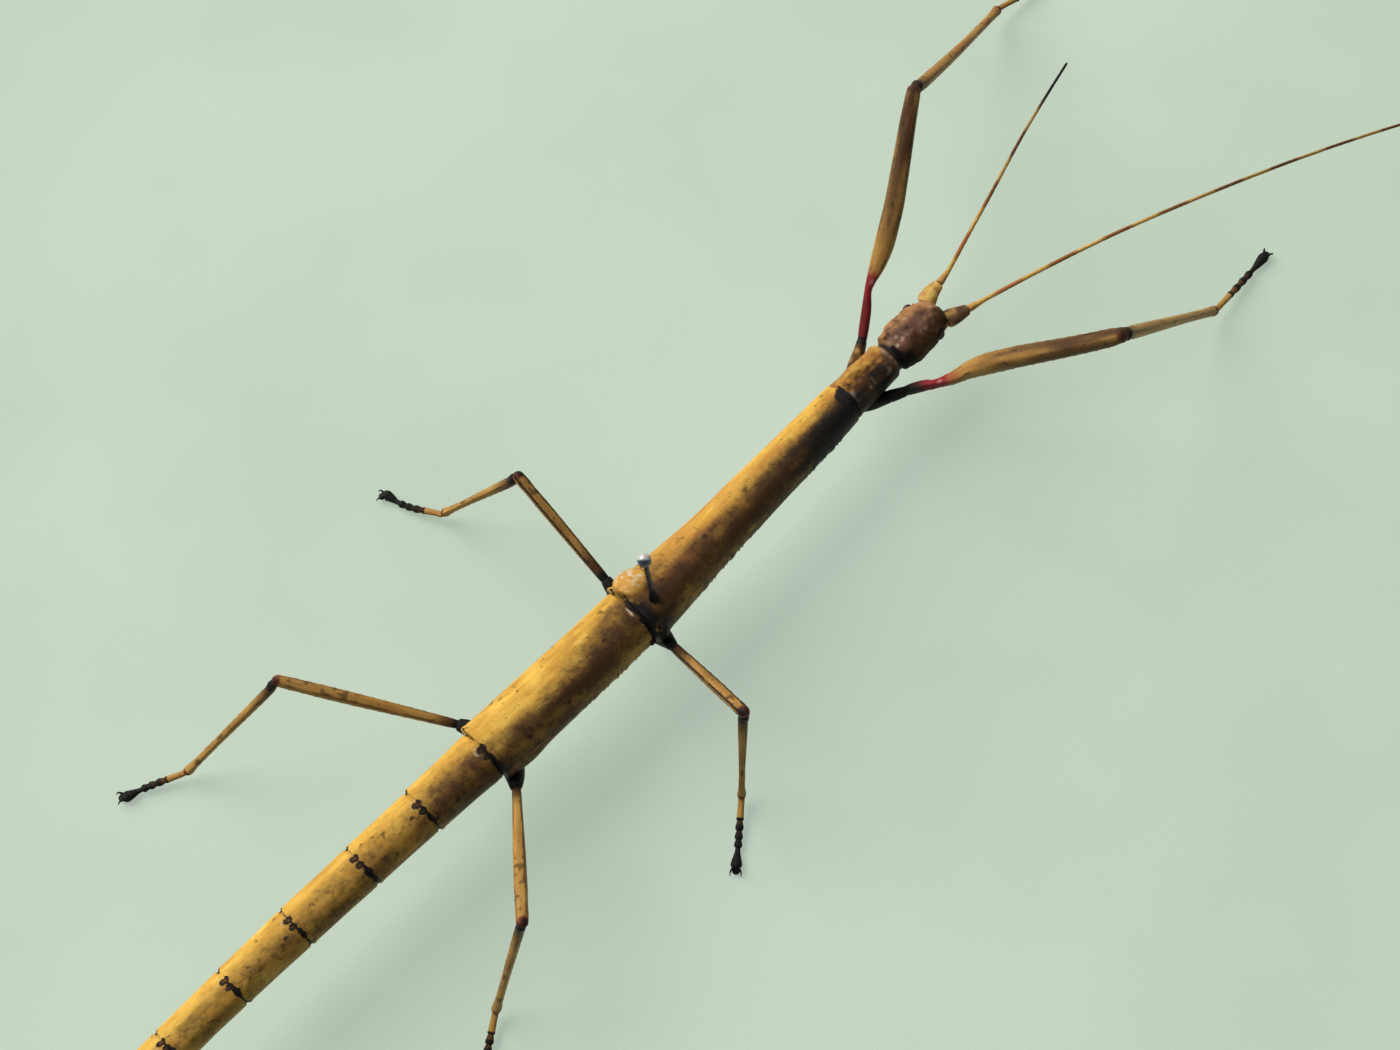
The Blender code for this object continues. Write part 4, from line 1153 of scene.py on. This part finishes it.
def from_corner(angle):
    """How far round from the nearest of the four lengthwise ridges, in radians."""
    return np.abs(((angle / (0.5 * math.pi)) % 1.0) - 0.5) * math.pi / 2.0


def ridged(height, teeth, start, pitch=1.9):
    """Four lengthwise ridges of a leg, with small teeth on them."""

    def relief(at, angle):
        ridge = bump(from_corner(angle), 0.0, 0.2)
        beat = (at - start) / pitch + 0.37 * np.floor(angle / (0.5 * math.pi))
        tooth = bump(beat - np.round(beat), 0.0, 0.1)
        return ridge * (height + teeth * tooth * ramp(start + 0.5, start + 3.0, at)) - 0.4 * height

    return relief


def striped(length, base, knee, stripe, umber, red=None, whole=0.0):
    """Pigments of a thigh or shin: dark ends, and broken dark lines along it.

    base and knee hold a reach in millimetres and a strength. whole closes the gaps in the lines.
    """

    def colour(at, angle, lay):
        broken = ramp(-0.35, 0.35, whole + grain(lay, 0.9, 31, (1.0, 1.0, 0.4)))
        blotch = grain(lay, 1.2, 32, (1.0, 1.0, 0.5))
        specks = ramp(0.4, 0.7, grain(lay, 0.5, 33, (1.0, 1.0, 0.6)))
        lines = bump(from_corner(angle), 0.0, 0.26) * broken
        knees = ramp(length - knee[0], length - 0.35 * knee[0], at) * (1.0 + 0.7 * blotch)
        bases = base[1] * ramp(base[0], 0.25 * base[0], at) * (1.0 + 0.25 * blotch)
        dark = most(stripe * lines, 0.5 * specks, bases, knee[1] * knees)
        brown = umber * (0.75 + 0.6 * blotch) + 0.6 * ramp(3.0 * base[0], 0.5 * base[0], at)
        rust = most(red(at, lay) if red else 0.0, 0.75 * knees)
        return dark, rust, 0.0, most(brown, 1.3 * stripe * lines, 0.4 * knees)

    return colour


def leg(frame, pair, side, looks):
    """One leg in one skin: coxa, trochanter, thigh, shin and five foot joints."""
    tag = f"{pair}_{side}"
    body = node_middle(TRUNK[PAIRS.index(pair)])
    thigh = spine(frame, f"femur_{tag}", body, 30, (0.01, 0.012))
    shin = spine(frame, f"tibia_{tag}", thigh[-1, :3], 20, (0.02, 0.02))
    foot = spine(frame, f"tarsus_{tag}", shin[-1, :3], 26, (0.01, 0.01))
    parts = [hip_part(pair, tag, thigh), thigh_part(pair, side, thigh)]
    parts.append(shin_part(pair, tag, shin, thigh[-1]))
    parts += foot_parts(pair, foot, shin[-1])
    nodes = [f"{name}_{tag}" for name in ("coxa", "femur", "tibia", "tarsus")]
    skin(f"leg_{tag}", parts, looks["limb"], nodes)
    claw_piece(tag, foot, looks)


def hip_part(pair, tag, thigh):
    """Coxa and the short trochanter at its end, reaching into the thigh."""
    _, high, centre = box_mm(f"coxa_{tag}")
    hip = thigh[0, :3]
    if pair == "fore":
        rear = np.array([centre[0], high[1], centre[2] - 0.1])
        inward = {"fore_left": 0.5, "fore_right": 0.52}[tag]
        rear[0] = mix(rear[0], node_middle("prothorax")[0], inward)
        rear[2] += 0.9
        onward = 0.35 * (hip - rear) / np.linalg.norm(hip - rear)
        points = [rear + (0, 0.1, 0.2), mix(rear, hip, 0.3), mix(rear, hip, 0.7), hip + onward]
        radii = [(0.8, 1.0), (1.1, 1.2), (1.0, 1.05), (0.78, 0.8)]
    else:
        inward = centre - hip
        inward /= np.linalg.norm(inward)
        root = hip + inward * 3.6
        root[0] = mix(root[0], node_middle("metathorax")[0], 0.3)
        points = [root, mix(root, hip, 0.35), mix(root, hip, 0.7), hip - 0.4 * inward]
        swell = 1.12 if pair == "hind" else 1.0
        radii = [(1.75, 1.5), (1.5, 1.35), (1.12 * swell, 1.05 * swell), (0.76 * swell,) * 2]
    table, at = resampled(np.array([(*p, *r) for p, r in zip(points, radii)]), 0.1)
    shape = domed(at, 0.5, 0.4) * (1.0 - 0.06 * bump(at, 0.64 * at[-1], 0.16))
    relief = lambda s, angle: 0.05 * np.cos(3 * angle + s)
    # The fore left coxa, on the side the light comes from, is far less dark than the others:
    # painted light.
    shade = {"fore_left": 0.12, "fore_right": 0.95}.get(tag, 0.9)

    def tone(s, angle, lay):
        end = ramp(0.8 * at[-1], 0.9 * at[-1], s)
        dark = mix(shade, 0.95, end) - 0.12 * grain(lay, 0.7, 41)
        bloom = 0.14 * ramp(0.1, 0.6, grain(lay, 0.8, 42)) * (1 - end)
        brown = mix(0.68, 0.9, end) + 0.4 * grain(lay, 0.9, 43) if tag == "fore_left" else 0.9
        return dark, 0.0, bloom, brown

    return sized(table, shape, at, tone, relief, 2.1, 40)


def thigh_part(pair, side, thigh):
    """The thigh, with its narrow notched base and change of colour on the fore legs."""
    table, at = resampled(extended(thigh, 0.3, 0.35), 0.22)
    length = at[-1]
    path = table[:, :3]
    neat, size = THIGH_SIZES[pair]
    wide, deep = (mix(table[:, k] * neat, size, bump(at, length - 1.0, 0.9)) for k in (3, 4))
    place, depth, spread, bulge = NOTCH[side]
    if pair == "fore":
        cut = depth * bump(at, place, spread)
        shift = -0.5 * cut - bulge * bump(at, place + 3.0, 2.0)
        inward = 1.0 if side == "left" else -1.0
        path = path + frames_along(path)[0] * (inward * shift)[:, None]
        wide = wide - 0.5 * cut
    tip = domed(at, 0.3, 1.0)
    ridge = ridged(0.09, 0.08, 2.0)
    relief = lambda s, angle: (
        ridge(s, angle) * ramp(length - 1.6, length - 2.6, s) * ramp(0, 1.5, s)
    )
    if pair == "mid":
        tone = striped(length, (2.6, 0.95), (2.0, 0.5), 0.7, 0.42, None, 0.55)
    elif pair == "hind":
        tone = striped(length, (2.0, 0.95), (1.8, 0.5), 0.45, 0.25, None, 0.1)
    else:
        base, fade, strength, burnt = FORE_THIGH[side]

        def red(s, lay):
            patchy = ramp(-1.1, 0.1, grain(lay, 1.1, 52, (1.0, 1.0, 0.4)))
            beyond = strength * ramp(place + fade, place + 2.5, s) * patchy
            return ramp(place + 3.0, place + 0.4, s) + beyond

        plain = striped(length, base, (2.0, 0.42), 0.16, 0.0, red)
        tone = lambda s, angle, lay: browned(
            plain(s, angle, lay), s, angle, lay, place, length, burnt
        )
    return tube(path, wide * tip, deep * tip, at, tone, relief, 2.2)


def browned(pigments, at, angle, lay, place, length, burnt):
    """The fore thigh's change from orange at its narrow base to olive brown at the knee."""
    dark, red, _, umber = pigments
    streak = grain(lay, 0.8, 53, (1.0, 1.0, 0.2))
    brown = 0.45 + 0.18 * bump(angle, 0.5 * math.pi, 0.6) + 0.25 * streak
    brown = brown * ramp(place + 2.0, 0.5 * length, at)
    brown = brown + 0.16 * ramp(0.45 * length, 0.8 * length, at)
    stalk = ramp(place + 1.5, place - 2.5, at)
    burn = stalk * (0.33 + burnt * ramp(place, 1.5, at) + 0.12 * streak)
    turn = np.linspace(0, 2 * math.pi, LIMB_SIDES)
    lip = bump(at, place + 1.2, 0.9) * bump(np.cos(turn), 0.3, 0.5)
    return most(dark, burn), red, 0.5 * lip, most(umber * (1.0 - stalk), brown)


def shin_part(pair, tag, shin, knee):
    """The shin runs from inside the knee to the ankle."""
    size, slim, slim_end, base, ankle = SHIN_SIZES[pair]
    rows = extended(shin, 0.0, 0.75)[1:]
    rows = np.vstack([[*mix(knee[:3], shin[0, :3], 0.2), size, size], rows])
    table, at = resampled(rows, 0.22)
    path, length, share = table[:, :3], at[-1], at / at[-1]
    wide = np.maximum(table[:, 3] * mix(slim, slim_end, share), SHIN_LEAST)
    wide = wide + 0.14 * bump(at, length - 0.9, 0.8) + 0.1 * bump(at, 1.0, 1.0)
    wide = wide * domed(at, 0.5, 0.4)
    ridge = ridged(0.06, 0.06, 1.5, 1.6)
    relief = lambda s, angle: ridge(s, angle) * ramp(length, length - 1.5, s)
    red = None
    if tag == "fore_left":
        path = path + np.sin(math.pi * share)[:, None] * np.array(SHIN_BOW)
        red = lambda s, lay: (
            0.42 * ramp(0.05, 0.55, grain(lay, 1.9, 51, (1.0, 1.0, 0.3)))
            + 0.45 * ramp(length - 6.0, length - 2.0, s)
        )
    tone = striped(length, base, ankle, 0.4, 0.12, red)
    return tube(path, wide, wide, at, tone, relief, 2.15)


def foot_parts(pair, foot, ankle):
    """Five foot joints: a long one, three beads and a club, each lapping over the next."""
    foot = foot.copy()
    foot[:, 3:] /= FOOT_SHARE
    start = [*mix(ankle[:3], foot[0, :3], 0.35), *foot[0, 3:]]
    table, at = resampled(np.vstack([start, foot]), 0.07)
    sole = lambda s, angle: -0.1 * ramp(-0.5, -0.95, np.sin(angle)) + 0.04 * np.cos(2 * angle)
    parts = []
    for k, (a, b) in enumerate(zip(FOOT_CUTS, FOOT_CUTS[1:])):
        pick = (at >= (a - 0.03) * at[-1]) & (at <= (b + 0.012) * at[-1])
        own = at[pick] - at[pick][0]
        t = own / own[-1]
        if k == 0:
            kind = LONG_JOINT
            dark = 0.95 * ramp(0.84, 0.97, t) + 0.3 * ramp(0.12, 0.0, t)
        elif k < 4:
            kind = BEAD
            dark = BEAD_DARK[k - 1] + PAIR_DARK[pair] + 0.75 * ramp(0.5, 0.85, t)
            dark = dark + 0.3 * ramp(0.2, 0.0, t)
        else:
            kind = CLUB
            dark = np.full(len(t), 1.0)
        dark = dark[:, None]
        umber = dark + 0.5 * (dark > 0.1)
        tone = lambda s, angle, lay: (dark + 0.15 * grain(lay, 0.6, 71), 0.0, 0.0, umber)
        radius = rounded(t, kind) * domed(own, 0.16, 0.2)
        parts.append(tube(table[pick, :3], radius, radius, own, tone, sole, 2.1, 28, 0.0))
    return parts


def claw_piece(tag, foot, looks):
    """Two hooked claws with the grey pad between them."""
    table, _ = resampled(foot, 0.1)
    end = table[-1, :3]
    forward = end - table[-12, :3]
    forward[2] = 0.0
    forward /= np.linalg.norm(forward)
    across = np.cross(forward, (0.0, 0.0, 1.0))
    parts = []
    for sign in (-1.0, 1.0):
        rows = []
        for k in range(12):
            t = k / 11
            reach = -0.25 + 1.75 * t - 0.35 * t**3
            spread = sign * (0.2 + 0.62 * math.sin(0.5 * math.pi * min(1.0, 1.3 * t)))
            height = 0.75 + 0.5 * math.sin(math.pi * min(1.0, 0.95 * t + 0.05)) - 0.62 * t**3
            middle = end + forward * reach + across * spread
            middle[2] = max(0.1, height)
            rows.append((*middle, mix(0.27, 0.05, t**0.8)))
        hook, at = resampled(np.array(rows), 0.05)
        tip = at[-1]
        tone = (0.9 - 0.3 * ramp(0.4 * tip, tip, at), 0.3 * ramp(0.3 * tip, tip, at))
        radius = hook[:, 3] * domed(at, 0.15, 0.1)
        parts.append(tube(hook[:, :3], radius, radius, at, tone, sides=16, floor=0.02))
    pad = [end - 0.2 * forward, end + 0.4 * forward, end + 0.95 * forward]
    for point, z in zip(pad, (0.6, 0.5, 0.34)):
        point[2] = z
    part = lobe(pad, [(0.5, 0.42), (0.62, 0.36), (0.42, 0.26)], 0.6, 0.1, 0.2)
    part["points"][:, 2] = np.maximum(part["points"][:, 2], 0.0)
    parts.append(part)
    skin(f"claw_pair_{tag}", parts, looks["black"], [f"claws_{tag}"])


# ---------------------------------------------------------------- tail and pin


def tail(frame, looks):
    """Keeled plate under the last segments, and the two tail feelers."""
    rows = spine(frame, "operculum", node_middle("abdomen_7"), 20, (0.01, 0.01))
    table, at = resampled(extended(rows, 2.0, 0.0), 0.15)
    shape = domed(at, 0.8, 0.8) * (1.0 + 0.35 * ramp(6.0, 0.0, at))
    table[:, 2] += 0.85 + 1.6 * ramp(10.0, 0.0, at)
    relief = lambda s, angle: (
        0.16 * bump(np.cos(angle), 0.0, 0.16) * ramp(0.2, -0.4, np.sin(angle))
    )
    tone = (0.55 * ramp(at[-1] - 2.5, at[-1], at), 0.25, 0.1)
    plate = sized(table, shape, at, tone, relief, 2.0, 40)
    skin("keel_plate", [plate], looks["trunk"], ["operculum"])
    for side in SIDES:
        rows = spine(frame, f"cercus_{side}", node_middle("abdomen_10"), 8, (0.03, 0.03))
        table, at = resampled(extended(rows, 1.6, 0.0), 0.06)
        taper = mix(1.0, 0.75, at / at[-1]) * domed(at, 0.1, 0.3)
        tone = (0.4 * ramp(3.0, 3.9, at),)
        part = tube(table[:, :3], 0.42 * taper, 0.36 * taper, at, tone, sides=24)
        skin(f"tail_feeler_{side}", [part], looks["limb"], [f"cercus_{side}"])


def pin(looks):
    """Blunt wire that leans a little above the back, and its ball, darkened with painted shade on
    one side.
    """
    low, high, centre = box_mm("pin_shaft")
    radius = PIN_SHARE * (high[0] - low[0])
    shaft = np.linspace(low[2] + 2.2, high[2] - BALL_DROP, 90)
    z = np.concatenate([np.linspace(low[2], low[2] + 2.0, 24), shaft])
    angle = circle(32)
    own = radius * ramp(-0.9, 2.0, z - low[2])[:, None]
    lean = PIN_LEAN * (np.maximum(0.0, z - PIN_BEND) / (high[2] - PIN_BEND))[:, None, None]
    x = centre[0] + own * np.cos(angle) + lean[..., 0]
    y = centre[1] + own * np.sin(angle) + lean[..., 1]
    points = np.stack(np.broadcast_arrays(x, y, z[:, None]), axis=-1)
    lay = points - (centre[0], centre[1], 0.0)
    part = closed_part(points, lay, tints(x.shape))
    skin("pin_wire", [part], looks["wire"], ["pin_shaft"])
    centre = box_mm("pin_head")[2] + (*PIN_LEAN, -BALL_DROP)
    ball = ball_part(centre, (BALL_RADIUS,) * 3, 48, 64)
    # painted shade on the ball's side that faces down in the view
    height = ball["lay"] @ np.array(BALL_SHADE_AXIS) / BALL_RADIUS
    ball["tint"][:, 0] = 0.96 * ramp(0.25, -0.1, height)
    skin("pin_ball", [ball], looks["ball"], ["pin_head"])


# ---------------------------------------------------------------- setting


def floor():
    """Plain paper, with a glow of its own that keeps the shadows on it as faint as in the photo."""
    mesh = bpy.data.meshes.new("floor")
    corners = ((-1, -1), (1, -1), (1, 1), (-1, 1))
    mesh.from_pydata([(x * FLOOR_REACH, y * FLOOR_REACH, 0) for x, y in corners], [], [range(4)])
    made, tree, shader = new_material("plain_paper")
    place = add(tree, "ShaderNodeTexCoord").outputs["Object"]
    cloud = remapped(tree, noise(tree, place, 14.0, 3.0), 0.3, 0.7)
    colour = blended(tree, cloud, *FLOOR_COLOURS)
    fill(tree, shader, {
        "Base Color": colour,
        "Emission Color": colour,
        "Emission Strength": FLOOR_GLOW,
        "Roughness": 0.9,
        "Specular IOR Level": 0.15,
        "Normal": raised(tree, noise(tree, place, 1500.0, 5.0, 0.65), 0.25, 0.3),
    })
    mesh.materials.append(made)
    ground = bpy.data.objects.new("floor", mesh)
    bpy.context.scene.collection.objects.link(ground)


def view_axes():
    """Right, up and backward directions of the camera."""
    a, e, roll = (math.radians(v) for v in (CAMERA_AZIMUTH, CAMERA_LIFT, CAMERA_ROLL))
    back = Vector((math.sin(a) * math.cos(e), -math.cos(a) * math.cos(e), math.sin(e)))
    right = Vector((0.0, 0.0, 1.0)).cross(back).normalized()
    up = back.cross(right)
    turned = math.cos(roll) * right + math.sin(roll) * up
    return turned, -math.sin(roll) * right + math.cos(roll) * up, back


def camera():
    low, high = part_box("pin_shaft")
    foot = Vector(((low.x + high.x) / 2, (low.y + high.y) / 2, 0.0))
    data = bpy.data.cameras.new("camera")
    data.sensor_width = SENSOR_WIDTH
    data.lens = 0.5 * SENSOR_WIDTH / math.tan(math.radians(FIELD_OF_VIEW / 2.0))
    data.clip_start = 0.01
    made = bpy.data.objects.new("camera", data)
    turn = Matrix(view_axes()).transposed().to_4x4()
    made.matrix_world = Matrix.Translation(foot + CAMERA_FROM_PIN) @ turn
    bpy.context.scene.collection.objects.link(made)
    bpy.context.scene.camera = made


def area_light(name, direction, distance, size, energy, colour):
    """A square light that looks at the origin from a direction."""
    data = bpy.data.lights.new(name, "AREA")
    data.size, data.energy, data.color = size, energy, colour
    made = bpy.data.objects.new(name, data)
    aim = direction.normalized()
    turn = aim.to_track_quat("Z", "Y").to_matrix().to_4x4()
    made.matrix_world = Matrix.Translation(aim * distance) @ turn
    bpy.context.scene.collection.objects.link(made)


def lights():
    """A wide soft key from the upper left of the view, a weak fill, and a pale sky."""
    right, up, back = view_axes()
    key = KEY_TILT[0] * (-0.688 * right + 0.725 * up) + KEY_TILT[1] * back
    area_light("key", key, 3.2, 2.7, 222.0, (1.0, 0.985, 0.93))
    area_light("fill", 0.85 * right - 0.5 * up + 0.6 * back, 2.4, 2.4, 4.5, (0.97, 1.0, 0.97))
    world = bpy.data.worlds.new("sky")
    world.use_nodes = True
    sky = world.node_tree.nodes["Background"].inputs
    sky["Color"].default_value = (0.88, 0.95, 1.0, 1.0)
    sky["Strength"].default_value = 0.16
    bpy.context.scene.world = world
    bpy.context.scene.view_settings.view_transform = "Standard"


def main():
    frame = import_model()
    looks = shell_materials()
    trunk(frame, looks)
    head(looks)
    mouthparts(looks)
    palps(frame, looks)
    for side in SIDES:
        eyeball(side, looks)
        feeler(frame, side, looks)
        for pair in PAIRS:
            leg(frame, pair, side, looks)
    tail(frame, looks)
    pin(looks)
    floor()
    camera()
    lights()


main()
